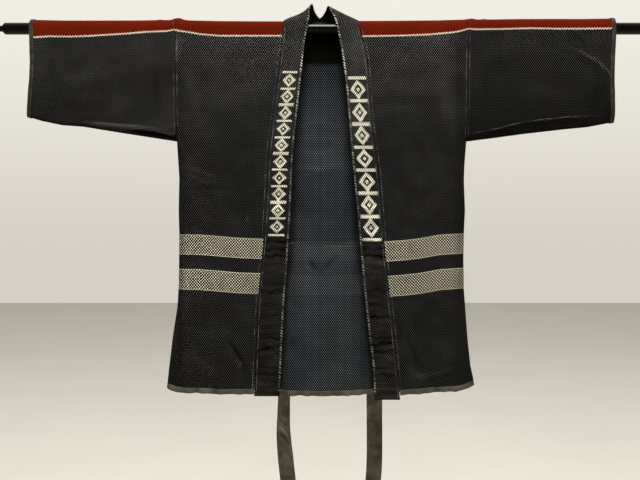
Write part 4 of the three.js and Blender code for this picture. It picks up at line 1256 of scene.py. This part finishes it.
def cuff_binding(half_name):
    half = HALVES[half_name]
    last = sleeve_ring(half_name, 1.0)[0]
    before = sleeve_ring(half_name, 0.9)[0]
    gap = np.abs(before[:, :1] - last[:, :1])
    grids = []
    for out, rise in u_section(CUFF_BINDING - BINDING_WALL - BINDING_CLEARANCE):
        rows = []
        for o, r in zip(out, rise):
            ring = lerp(last, before, max(r, 0) / gap)
            ring = ring + np.array([-half["sign"] * min(r, 0), 0, 0])
            rows.append(ring + ring_facing(ring[None])[0] * o)
        grids.append(np.stack(rows))
    around = np.concatenate([[0], np.cumsum(np.linalg.norm(np.diff(last, axis=0), axis=1))]) * MM
    rise = u_section(CUFF_BINDING)[0][1] * MM
    cloth = np.stack(np.meshgrid(around, rise), -1)
    wear_and_shade = ripple(last[:, 0] * 0, last[:, 1], last[:, 2], 11.0, 0.8) * np.ones_like(cloth[..., 0])
    layers = {"cloth": cloth, "wear_and_shade": np.stack([wear_and_shade, wear_and_shade * 0], -1)}
    piece = wall_mesh(f"coat_cuff_binding_{half_name}", grids[0], grids[1], layers, tube=True)
    dress(piece, [f"cuff_binding_{half_name}"], "binding_cloth", cuff_cotton, cuff_cotton)
    return grids


cuff_bindings = [cuff_binding(half_name) for half_name in HALVES]

# %% [markdown]
# The hem has the same U, carried along each front from band to side seam and along the whole back. It
# could be one strip all round, but a maker sews it from seam to seam, so it is three. The hem is
# puckered where it was sewn. The puckers are in the shape, as the hem's edge shows them against the
# light, and they are painted paler on their crests and darker in their hollows, as painted light and shade.

# %% Lay the hem bindings
HEM_STEPS = 110
HEM_PUCKER, HEM_PUCKER_SCALE = 2.2, 18.0
HEM_PALE, HEM_PUCKER_PALE = 0.25, 0.8


def hem_rows(face, half_name, lift, rise, shares):
    """Points along the hem, out of the cloth by lift and up it by rise, and their puckers."""
    half = HALVES[half_name]
    level = np.full_like(shares, HEM_LEVEL + max(rise, 0))
    x = lerp(inner_edge(half, face, level), outer_edge(half, level), shares)
    points = body_surface(face, half_name, x, level)
    sign = -1 if face == "front" else 1
    puckers = ripple(x * half["sign"], x * 0 + sign * 50, x * 0 + rise * 0.5, HEM_PUCKER_SCALE, HEM_PUCKER)
    depth = sign * points[:, 1] + lift + np.sign(lift) * np.maximum(puckers, 0)
    points[:, 1] = sign * np.maximum(depth, SEAM_GAP)
    points[:, 2] += min(rise, 0) - puckers * (rise <= 0)
    return np.column_stack([points, puckers])


def hem_binding(name, node, lengths):
    """lengths is a list of (face, half, shares) laid one after the other."""
    grids = []
    for out, rise in u_section(HEM_BINDING - BINDING_WALL - BINDING_CLEARANCE):
        rows = []
        for o, r in zip(out, rise):
            parts = [hem_rows(face, half_name, o, r, shares) for face, half_name, shares in lengths]
            rows.append(np.concatenate(parts))
        grids.append(np.stack(rows))
    # painted light and shade: pucker crests paler, hollows darker
    wear_and_shade = HEM_PALE + grids[0][..., 3] / HEM_PUCKER * HEM_PUCKER_PALE
    grids = [grid[..., :3] for grid in grids]
    edge = grids[0][len(grids[0]) // 2]
    around = np.concatenate([[0], np.cumsum(np.linalg.norm(np.diff(edge, axis=0), axis=1))]) * MM
    cloth = np.stack(np.meshgrid(around, u_section(HEM_BINDING)[0][1] * MM), -1)
    piece = wall_mesh(name, grids[0], grids[1], {"cloth": cloth, "wear_and_shade": np.stack([wear_and_shade, wear_and_shade * 0], -1)})
    dress(piece, [node], "binding_cloth", hem_cotton, hem_cotton)
    return grids


outwards_shares = np.linspace(0, 0.992, HEM_STEPS)
front_right = [("front", "right", outwards_shares)]
front_left = [("front", "left", outwards_shares)]
whole_back = [("back", "right", outwards_shares[::-1]), ("back", "left", outwards_shares[1:])]
hem_pieces = [
    hem_binding("coat_hem_binding_right", "hem_binding_front_right", front_right),
    hem_binding("coat_hem_binding_left", "hem_binding_front_left", front_left),
    hem_binding("coat_hem_binding_back", "hem_binding_back", whole_back),
]

# %% [markdown]
# The ties are long strips folded flat. They hang behind the back and turn as they go. A simulation
# could hang them, but they have to turn where the real ones do, so a short table gives their place,
# how far they stand off the cloth, and their turn at each level. Short creases run across them, and
# sewing has drawn small notches into their edges.

# %% Make the two ties
TIE_WIDTH = 34.0
# Level, place across, distance from the cloth and turn in degrees, from the top down.
TIES = {
    "right": [(-440, -77, 1.6, 0), (-470, -77, 2, 1), (-560, -78, 7, 8), (-650, -78, 11, 20),
              (-720, -78, 15, 34), (-785, -78.5, 18, 44), (-828, -79.2, 17, 41), (-868, -79.8, 15, 33),
              (-890, -78.7, 14.5, 26), (-911, -76.8, 14, 18), (-933, -74.6, 13.5, 8), (-955, -72.2, 13, 2),
              (-975, -70, 13, 0), (-1030, -68.5, 12, 4), (-1104, -67.5, 11, 8)],
    "left": [(-440, 113, 1, 0), (-470, 113.5, 1.2, -1), (-560, 115, 6, -5), (-650, 117, 8, -7),
             (-720, 118, 9.5, -8), (-785, 118.5, 10, -6), (-850, 118.6, 10, -3), (-930, 118.5, 10, 2),
             (-960, 117.3, 10, 3), (-980, 115.5, 10, 3), (-1040, 113.8, 9, 2), (-1112, 113, 8, -4)],
}
# painted light: each tie lighter near its top and darker lower down
TIE_PAINTED_LIGHT = {
    "right": steps([(-1112, 0.0), (-940, 0.05), (-870, 0.15), (-840, 0.5), (-790, 0.5)]),
    "left": steps([(-1112, -0.25), (-915, -0.3), (-885, -0.12), (-855, 0.05), (-835, 0.45), (-790, 0.55)]),
}
TIE_STEP, TIE_COLUMNS = 1.2, 19
TIE_PUCKER, TIE_NOTCH, TIE_NOTCH_REACH = 4.7, 0.5, 5
TIE_SEWN_DOWN, TIE_EDGE_ROUND = -452, 1.6
TIE_WEAR_AND_SHADE = {"crease": 0.55, "notch": 0.25, "edge": 0.35}
TIE_CREASES = {
    "right": [([(-17, -852), (0, -872), (17, -900)], 2.8, -1.6),
              ([(-17, -866), (2, -884), (17, -906)], 2.8, 1.6),
              ([(-17, -836), (15, -866)], 2.8, 1.3), ([(-8, -858), (14, -888)], 2.4, -1.2),
              ([(-10, -905), (9, -935)], 4, -0.8), ([(12, -810), (2, -850)], 3, 0.9),
              ([(-12, -700), (10, -730)], 6, -0.8), ([(-6, -1000), (10, -1040)], 6, 0.7)],
    "left": [([(-14, -812), (-4, -818)], 3, -0.8), ([(-15, -850), (-3, -858)], 3, -0.8),
             ([(-12, -900), (10, -925)], 6, -0.7), ([(-8, -1010), (12, -1040)], 6, 0.7),
             ([(12, -600), (-8, -640)], 6, -0.7), ([(-12, -690), (8, -720)], 6, 0.7)],
}


def tie(half_name):
    rows = TIES[half_name][::-1]
    levels = np.array([row[0] for row in rows], float)
    at = np.linspace(levels[0], levels[-1], int((levels[-1] - levels[0]) / TIE_STEP))
    cloth_depth = [float(body_depth("back", half_name, np.array(abs(x)), np.array(max(z, HEM_LEVEL))))
                   for z, x, out, turn in rows]
    table = [(x, depth + out + TIE_WALL / 2, turn) for (z, x, out, turn), depth in zip(rows, cloth_depth)]
    x, y, turn = curve_through(table, levels, at).T
    turn = np.radians(turn)[:, None]
    across = np.linspace(-TIE_WIDTH / 2, TIE_WIDTH / 2, TIE_COLUMNS)[None, :]
    level = np.broadcast_to(at[:, None], (len(at), TIE_COLUMNS))
    bend = sum(bump_along(line, width, out, np.broadcast_to(across, level.shape), level)
               for line, width, out in TIE_CREASES[half_name])
    bend = bend + ripple(np.broadcast_to(across, level.shape), level * 0, level, 22.0, 0.5)
    edge = np.clip((np.abs(across) - TIE_WIDTH / 2 + TIE_NOTCH_REACH) / TIE_NOTCH_REACH, 0, 1)
    notch = edge * np.cos(2 * math.pi * level / TIE_PUCKER + 0.04 * level)
    bend = (bend + TIE_NOTCH * notch) * ease((TIE_SEWN_DOWN - level) / 30)
    # painted light and shade along the creases and notches, and painted shade along both edges
    wear_and_shade = TIE_PAINTED_LIGHT[half_name](level) - TIE_WEAR_AND_SHADE["crease"] * bend
    wear_and_shade = wear_and_shade - TIE_WEAR_AND_SHADE["notch"] * notch - TIE_WEAR_AND_SHADE["edge"] * (edge > 0.75)
    from_edge = TIE_WIDTH / 2 - np.abs(across)
    half_wall = TIE_WALL / 2 * np.sqrt(1 - (1 - np.clip(from_edge / TIE_EDGE_ROUND, 0.2, 1)) ** 2)
    grids = []
    for side in (1, -1):
        lift = bend + side * half_wall
        px = x[:, None] + across * np.cos(turn) - lift * np.sin(turn)
        py = y[:, None] + across * np.sin(turn) + lift * np.cos(turn)
        grids.append(np.stack([px, py, level], -1))
    cloth = np.stack([np.broadcast_to(across, level.shape), level], -1) * MM
    layers = {"cloth": cloth, "wear_and_shade": np.stack([wear_and_shade, level * 0], -1)}
    piece = wall_mesh(f"coat_tie_{half_name}", grids[0], grids[1], layers)
    dress(piece, [f"tie_{half_name}"], "tie_cloth", tie_cotton, tie_cotton)
    return grids


ties = [tie(half_name) for half_name in TIES]

# %% [markdown]
# Sewing shows as short raised stitches. They could be a dotted line in the finish, but real stitches
# catch the light one by one. Each is a small five-sided spindle, half sunk in the cloth, and all
# stitches of one thread are one mesh. A line of places with the cloth's facing at each place is all
# that a row needs. Whip stitches over the band's free edge use the same spindle, turned.

# %% Rows of stitches
SPINDLE_SIDES = 5


def unit(vectors):
    return vectors / np.linalg.norm(vectors, axis=-1, keepdims=True)


def stitch_row(points, facing, pitch, length, slant=0.0):
    """Middles, half lengths and facings of the stitches along a line of points."""
    run = np.concatenate([[0], np.cumsum(np.linalg.norm(np.diff(points, axis=0), axis=1))])

    def read(values, at):
        return np.stack([np.interp(at, run, values[:, i]) for i in range(3)], -1)

    at = np.arange(pitch, run[-1] - pitch, pitch)
    at = at + 0.12 * pitch * np.sin(at * 1.7)
    direction = unit(read(points, at + 0.5) - read(points, at - 0.5))
    up = read(facing, at)
    up = unit(up - direction * (up * direction).sum(1, keepdims=True))
    turned = math.cos(slant) * direction + math.sin(slant) * np.cross(up, direction)
    return read(points, at), turned * length / 2, up


def stitches(name, rows, width, slot_name, finish):
    middle, reach, up = (np.concatenate(parts) for parts in zip(*rows))
    side = unit(np.cross(reach, up))
    count = len(middle)
    rings = [middle - reach]
    for share in (-0.6, 0.6):
        for turn in np.linspace(0, 2 * math.pi, SPINDLE_SIDES, endpoint=False):
            around = side * math.cos(turn) + up * math.sin(turn) * 0.8
            rings.append(middle + reach * share + around * width / 2)
    rings.append(middle + reach)
    points = np.stack(rings, 1)
    faces, last = [], len(rings) - 1
    for i in range(SPINDLE_SIDES):
        j = (i + 1) % SPINDLE_SIDES
        a, b, c, d = 1 + i, 1 + j, 1 + SPINDLE_SIDES + j, 1 + SPINDLE_SIDES + i
        faces += [(0, b, a), (a, b, c), (a, c, d), (d, c, last)]
    faces = (np.array(faces)[None] + np.arange(count)[:, None, None] * len(rings)).reshape(-1, 3)
    mesh = bpy.data.meshes.new(name)
    mesh.from_pydata((points.reshape(-1, 3) * MM).tolist(), [], faces.tolist())
    mesh.polygons.foreach_set("use_smooth", np.full(len(faces), True))
    mesh.update()
    piece = bpy.data.objects.new(name, mesh)
    bpy.context.collection.objects.link(piece)
    dress(piece, [], slot_name, finish)


def thread(name, colour, worn, painted_light_at_top=1.0):
    finish = Finish(name, roughness=0.8, sheen=0.05)
    share = finish.ramp(finish.cloud(0.022, 4), 0.42, 0.62)
    # painted light from above: the thread paler towards the top
    value_factor = finish.ramp(finish.height(), -0.30, -0.06, 1.0, painted_light_at_top)
    return finish.colour(finish.shade(finish.mix(share, worn, colour), value_factor))


pale_thread = thread("pale_thread", (0.36, 0.36, 0.34), (0.040, 0.040, 0.038))
edge_thread = thread("edge_thread", (0.33, 0.335, 0.29), (0.06, 0.06, 0.049), 2.4)
olive_thread = thread("olive_thread", (0.15, 0.14, 0.115), (0.05, 0.047, 0.036))
print("threads", pale_thread.name, edge_thread.name, olive_thread.name)

# %% [markdown]
# Pale thread holds the sleeves in the armholes and the band on the fronts. The rows could be drawn by
# hand, but read from the same surfaces as the cloth, a few millimetres beside each seam, they lie on
# it everywhere, also where it bulges.

# %% Sew the armholes and the band's seam
OUT_OF_CLOTH = WALL / 2 + 0.15
STITCH_PITCH, STITCH_LENGTH = 4.4, 2.6
FRONT_FACING, BACK_FACING = np.array([0.0, -1, 0]), np.array([0.0, 1, 0])


def body_line(face, half_name, x, levels, lift=OUT_OF_CLOTH, facing=None):
    points = body_surface(face, half_name, x, levels, lift)
    default = FRONT_FACING if face == "front" else BACK_FACING
    return points, np.broadcast_to(default if facing is None else facing, points.shape)


def armhole_rows(half_name):
    half = HALVES[half_name]
    levels = np.linspace(-236, -6, 60)
    rows = [stitch_row(*body_line(face, half_name, outer_edge(half, levels) - 4.0, levels),
                       STITCH_PITCH, STITCH_LENGTH) for face in ("front", "back")]
    outer, facing = sleeve_surfaces[half_name]
    column = 1
    strip = len(SLEEVE_FRACTIONS)
    order = np.r_[-strip:0, 0:OVER_STEPS - 1 + strip]
    rows.append(stitch_row(outer[column][order], facing[column][order], STITCH_PITCH, STITCH_LENGTH))
    return rows


def band_rows(half_name):
    half = HALVES[half_name]
    levels = np.linspace(-764, -4, 160)
    return [stitch_row(*body_line("front", half_name, half["band_seam_at"](levels) + 3.4, levels),
                       STITCH_PITCH, STITCH_LENGTH)]


pale_rows = armhole_rows("right") + armhole_rows("left") + band_rows("right") + band_rows("left")
seam_column, free_column = 3, -3
collar_front = (collar_outer[:, seam_column, 1] < 0) & (collar_outer[:, seam_column, 2] < 8)
half_count = len(collar_outer) // 2
front_rows = [np.flatnonzero(collar_front[:half_count]),
              half_count + np.flatnonzero(collar_front[half_count:])]
for rows in front_rows:
    line, up = collar_outer[rows, seam_column], collar_facing[rows, seam_column]
    pale_rows.append(stitch_row(line, up, STITCH_PITCH, STITCH_LENGTH))
print(sum(len(row[0]) for row in pale_rows), "stitches of pale thread")

# %% [markdown]
# A row of stitches follows the fold under the left sleeve. The fold's line is in the table of folds,
# but not how far out the cloth stands there. A Shrinkwrap modifier could tell. Here the four nearest
# points of the finished sleeve give it, as the stitches need the cloth's facing too.

# %% Tack the fold under the left sleeve
FOLD_ABOVE, FOLD_PITCH, FOLD_LENGTH = 2.2, 6.2, 3.4


def near_surface(surface, x, z, lift):
    """Points of a front surface at places (x, z), and its facings there."""
    grid, facing = (part.reshape(-1, 3) for part in surface)
    front = facing[:, 1] < -0.2
    grid, facing = grid[front], facing[front]
    away = np.hypot(grid[None, :, 0] - x[:, None], grid[None, :, 2] - z[:, None])
    nearest = np.argsort(away, axis=1)[:, :4]
    weight = 1 / (np.take_along_axis(away, nearest, 1) + 0.3)
    weight = (weight / weight.sum(1, keepdims=True))[..., None]
    up = unit((facing[nearest] * weight).sum(1))
    return (grid[nearest] * weight).sum(1) + up * lift, up


fold_x = np.linspace(320, 605, 90)
fold_line = np.array(LEDGES[1][2], float)
fold_z = np.interp(fold_x, fold_line[:, 0], fold_line[:, 1]) + FOLD_ABOVE
fold_places = near_surface(sleeve_surfaces["left"], fold_x, fold_z, 0.15)
pale_rows.append(stitch_row(*fold_places, FOLD_PITCH, FOLD_LENGTH))
stitches("coat_seam_stitches", pale_rows, 1.0, "sashiko_cloth", pale_thread)

# %% [markdown]
# A thicker pale thread is whipped over the band's free edge, and more closely over the rim at the
# neck. It could be a twisted cord, but slanting single stitches show the gaps between them.

# %% Whip the free edge of the band
EDGE_PITCH, EDGE_LENGTH, EDGE_SLANT, EDGE_WIDTH, EDGE_SUNK = 6.0, 6.4, 0.75, 1.9, 0.3
RIM_PITCH, RIM_LENGTH, RIM_SLANT, RIM_FACING = 4.4, 4.4, 0.85, (0.0, -0.6, 0.8)
edge_up = collar_facing[3:-3, free_column]
edge_line = collar_outer[3:-3, free_column] - EDGE_SUNK * edge_up
edge_rows = [stitch_row(edge_line, edge_up, EDGE_PITCH, EDGE_LENGTH, slant=EDGE_SLANT)]
rim = collar_outer[:, -1]
rim = rim[(rim[:, 2] > 14) & (rim[:, 1] > -4)]
rim_up = np.broadcast_to(RIM_FACING, rim.shape)
edge_rows.append(stitch_row(rim, rim_up, RIM_PITCH, RIM_LENGTH, slant=RIM_SLANT))
stitches("coat_edge_stitches", edge_rows, EDGE_WIDTH, "band_cloth", edge_thread)

# %% [markdown]
# Inside the back, short rows of pale stitches run across, one on the right and two on the left. They
# are small and could be left out, but they show between the bands.

# %% Sew inside the back
INNER_PITCH, INNER_LENGTH, INNER_WIDTH = 4.8, 2.8, 0.9
inner_rows = []
for half_name, x_end, levels in (("right", 130, (-453.0,)), ("left", 150, (-453.0, -459.5))):
    for level in levels:
        x = np.linspace(6, x_end, 60)
        lift = -(WALL / 2 + 0.1)
        line = body_line("back", half_name, x, np.full_like(x, level), lift, FRONT_FACING)
        inner_rows.append(stitch_row(*line, INNER_PITCH, INNER_LENGTH))
stitches("coat_inner_stitches", inner_rows, INNER_WIDTH, "sashiko_cloth", pale_thread)

# %% [markdown]
# Bindings and ties are sewn along both edges, with fine thread of their own colour. Each row could be
# laid out again, but the grids of points already know where their edges are, so two short loops over
# the grids are enough.

# %% Sew the bindings and the ties
BINDING_PITCH, BINDING_LENGTH, OLIVE_WIDTH = 3.4, 2.2, 0.7
olive_rows = []
for outer, inner in cuff_bindings + hem_pieces:
    for row in (1, -2):
        up = unit(outer[row] - inner[row])
        olive_rows.append(stitch_row(outer[row], up, BINDING_PITCH, BINDING_LENGTH))
stitches("coat_binding_stitches", olive_rows, OLIVE_WIDTH, "binding_cloth", olive_thread)

tie_rows = []
for grids in ties:
    for column in (1, -2):
        for outer, inner in (grids, grids[::-1]):
            up = unit(outer[:, column] - inner[:, column])
            tie_rows.append(stitch_row(outer[:, column], up, TIE_PUCKER, STITCH_LENGTH))
stitches("coat_tie_stitches", tie_rows, OLIVE_WIDTH, "tie_cloth", olive_thread)

# %% [markdown]
# The rod is a steel tube with black satin paint. Two cylinders of Blender's own would nearly do, but a
# turned outline with many sides gives it the chamfer, the narrower stub that goes into a stand, and
# the clean bright line along its top.

# %% Make the rod
ROD_SIDES = 96
ROD_CHAMFER, ROD_STUB, ROD_STUB_RADIUS, ROD_BREAK = 6.0, 20.0, 6.4, 0.5
PAINT_GLOSS, PAINT_BLACK, PAINT_SCUFFED = 0.06, (0.002, 0.0019, 0.0013), (0.006, 0.0056, 0.004)


def rod():
    low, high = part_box("rod")
    start, end = low[0] / MM, high[0] / MM
    outline = [(start, 0), (start, ROD_STUB_RADIUS - ROD_BREAK), (start + ROD_BREAK, ROD_STUB_RADIUS),
               (start + ROD_STUB, ROD_STUB_RADIUS), (start + ROD_STUB + ROD_CHAMFER, ROD_RADIUS)]
    outline += [(start + end - x, r) for x, r in outline[::-1]]
    points, faces = [], []
    for x, r in outline[1:-1]:
        for turn in np.linspace(0, 2 * math.pi, ROD_SIDES, endpoint=False):
            points.append((x * MM, r * math.cos(turn) * MM, r * math.sin(turn) * MM))
    rings = len(outline) - 2
    for i in range(rings - 1):
        for j in range(ROD_SIDES):
            k = (j + 1) % ROD_SIDES
            near, far = i * ROD_SIDES, (i + 1) * ROD_SIDES
            faces.append((near + j, far + j, far + k, near + k))
    faces.append(tuple(range(ROD_SIDES)))
    faces.append(tuple(range((rings - 1) * ROD_SIDES, rings * ROD_SIDES))[::-1])
    mesh = bpy.data.meshes.new("hanging_rod")
    mesh.from_pydata(points, [], faces)
    mesh.polygons.foreach_set("use_smooth", [len(face) == 4 for face in faces])
    mesh.update()
    piece = bpy.data.objects.new("hanging_rod", mesh)
    bpy.context.collection.objects.link(piece)
    paint = Finish("black_satin_paint", roughness=0.19)
    paint.shader.inputs["Specular IOR Level"].default_value = PAINT_GLOSS
    scuffs = paint.ramp(paint.cloud(0.02, 6, squash=(0.2, 1, 1)), 0.62, 0.78)
    paint.raise_by(paint.cloud(0.0012, 2), 0.00002)
    dress(piece, ["rod"], "rod_finish", paint.colour(paint.mix(scuffs, PAINT_BLACK, PAINT_SCUFFED)))


rod()

# %% [markdown]
# The stage is a plain pale floor. It could be left out, as the coat hangs clear of it, but a surface
# below gives the cloth some light from underneath and shows where the coat is.

# %% Lay the floor
FLOOR_LEVEL, FLOOR_HALF = -1.20, 8.0
FLOOR_PALE, FLOOR_PALER = (0.62, 0.59, 0.53), (0.68, 0.65, 0.58)
floor_mesh = bpy.data.meshes.new("floor")
corners = [(-1, -1), (1, -1), (1, 1), (-1, 1)]
floor_points = [(x * FLOOR_HALF, y * FLOOR_HALF, FLOOR_LEVEL) for x, y in corners]
floor_mesh.from_pydata(floor_points, [], [(0, 1, 2, 3)])
floor = bpy.data.objects.new("floor", floor_mesh)
bpy.context.collection.objects.link(floor)
floor_finish = Finish("pale_floor", roughness=0.8)
speckle = floor_finish.cloud(0.4, 4)
floor_mesh.materials.append(floor_finish.colour(floor_finish.mix(speckle, FLOOR_PALE, FLOOR_PALER)))
print("floor", FLOOR_HALF * 2, "m wide")

# %% [markdown]
# The surrounding light is a pale room. One even colour would be simpler, but the wall behind the real
# coat is bright and the room in front of it is dimmer. So two soft changes of colour are combined, one
# from low to high and one from front to back.

# %% The surrounding light
FRONT_COLOUR, BEHIND_LOW, BEHIND_HIGH = (0.34, 0.34, 0.345), (0.66, 0.63, 0.56), (0.88, 0.86, 0.78)
HEIGHT_CHANGE, DEPTH_CHANGE = (-0.05, 0.3), (-0.25, 0.45)
world = bpy.data.worlds.new("pale_room")
world.use_nodes = True
room = world.node_tree
where = room.nodes.new("ShaderNodeTexCoord")
parts = room.nodes.new("ShaderNodeSeparateXYZ")
room.links.new(where.outputs["Generated"], parts.inputs[0])


def room_mix(source, low, high, a, b):
    """A soft change from colour a to colour b as source goes from low to high."""
    share = room.nodes.new("ShaderNodeMapRange")
    share.interpolation_type = "SMOOTHSTEP"
    share.inputs["From Min"].default_value, share.inputs["From Max"].default_value = low, high
    room.links.new(source, share.inputs["Value"])
    node = room.nodes.new("ShaderNodeMix")
    node.data_type = "RGBA"
    room.links.new(share.outputs[0], node.inputs[0])
    for socket, value in ((node.inputs[6], a), (node.inputs[7], b)):
        if hasattr(value, "is_output"):
            room.links.new(value, socket)
        else:
            socket.default_value = (*value, 1)
    return node.outputs[2]


behind = room_mix(parts.outputs[2], *HEIGHT_CHANGE, BEHIND_LOW, BEHIND_HIGH)
around = room_mix(parts.outputs[1], *DEPTH_CHANGE, FRONT_COLOUR, behind)
room.links.new(around, room.nodes["Background"].inputs["Color"])
bpy.context.scene.world = world
print("world", world.name)

# %% [markdown]
# The main light is high and a little in front, as ceiling lamps are. A lamp beside the camera would
# flatten the cloth, but this one grazes it, brings out its weave and throws the inside of the neck into
# shade. A second lamp is seen only in glossy paint, and draws the line along the rod.

# %% Light the coat
KEY_PLACE, KEY_TARGET, KEY_SIZE = (0.0, -1.75, 3.3), (0, 0, -0.35), (2.0, 0.55)
KEY_POWER, KEY_COLOUR = 235.0, (1.0, 0.985, 0.96)
STRIP_PLACE, STRIP_TARGET, STRIP_SIZE, STRIP_POWER = (0.0, -2.0, 2.1), (0, 0, 0), (0.9, 1.3), 340.0


def area_light(name, place, target, size, power, colour=(1, 1, 1)):
    data = bpy.data.lights.new(name, "AREA")
    data.shape = "RECTANGLE"
    data.size, data.size_y = size
    data.energy = power
    data.color = colour
    light = bpy.data.objects.new(name, data)
    light.location = place
    light.rotation_euler = (Vector(target) - Vector(place)).to_track_quat("-Z", "Y").to_euler()
    bpy.context.collection.objects.link(light)
    return light


area_light("ceiling_lamp", KEY_PLACE, KEY_TARGET, KEY_SIZE, KEY_POWER, KEY_COLOUR)
strip = area_light("strip_for_the_rod", STRIP_PLACE, STRIP_TARGET, STRIP_SIZE, STRIP_POWER)
strip.visible_diffuse = False
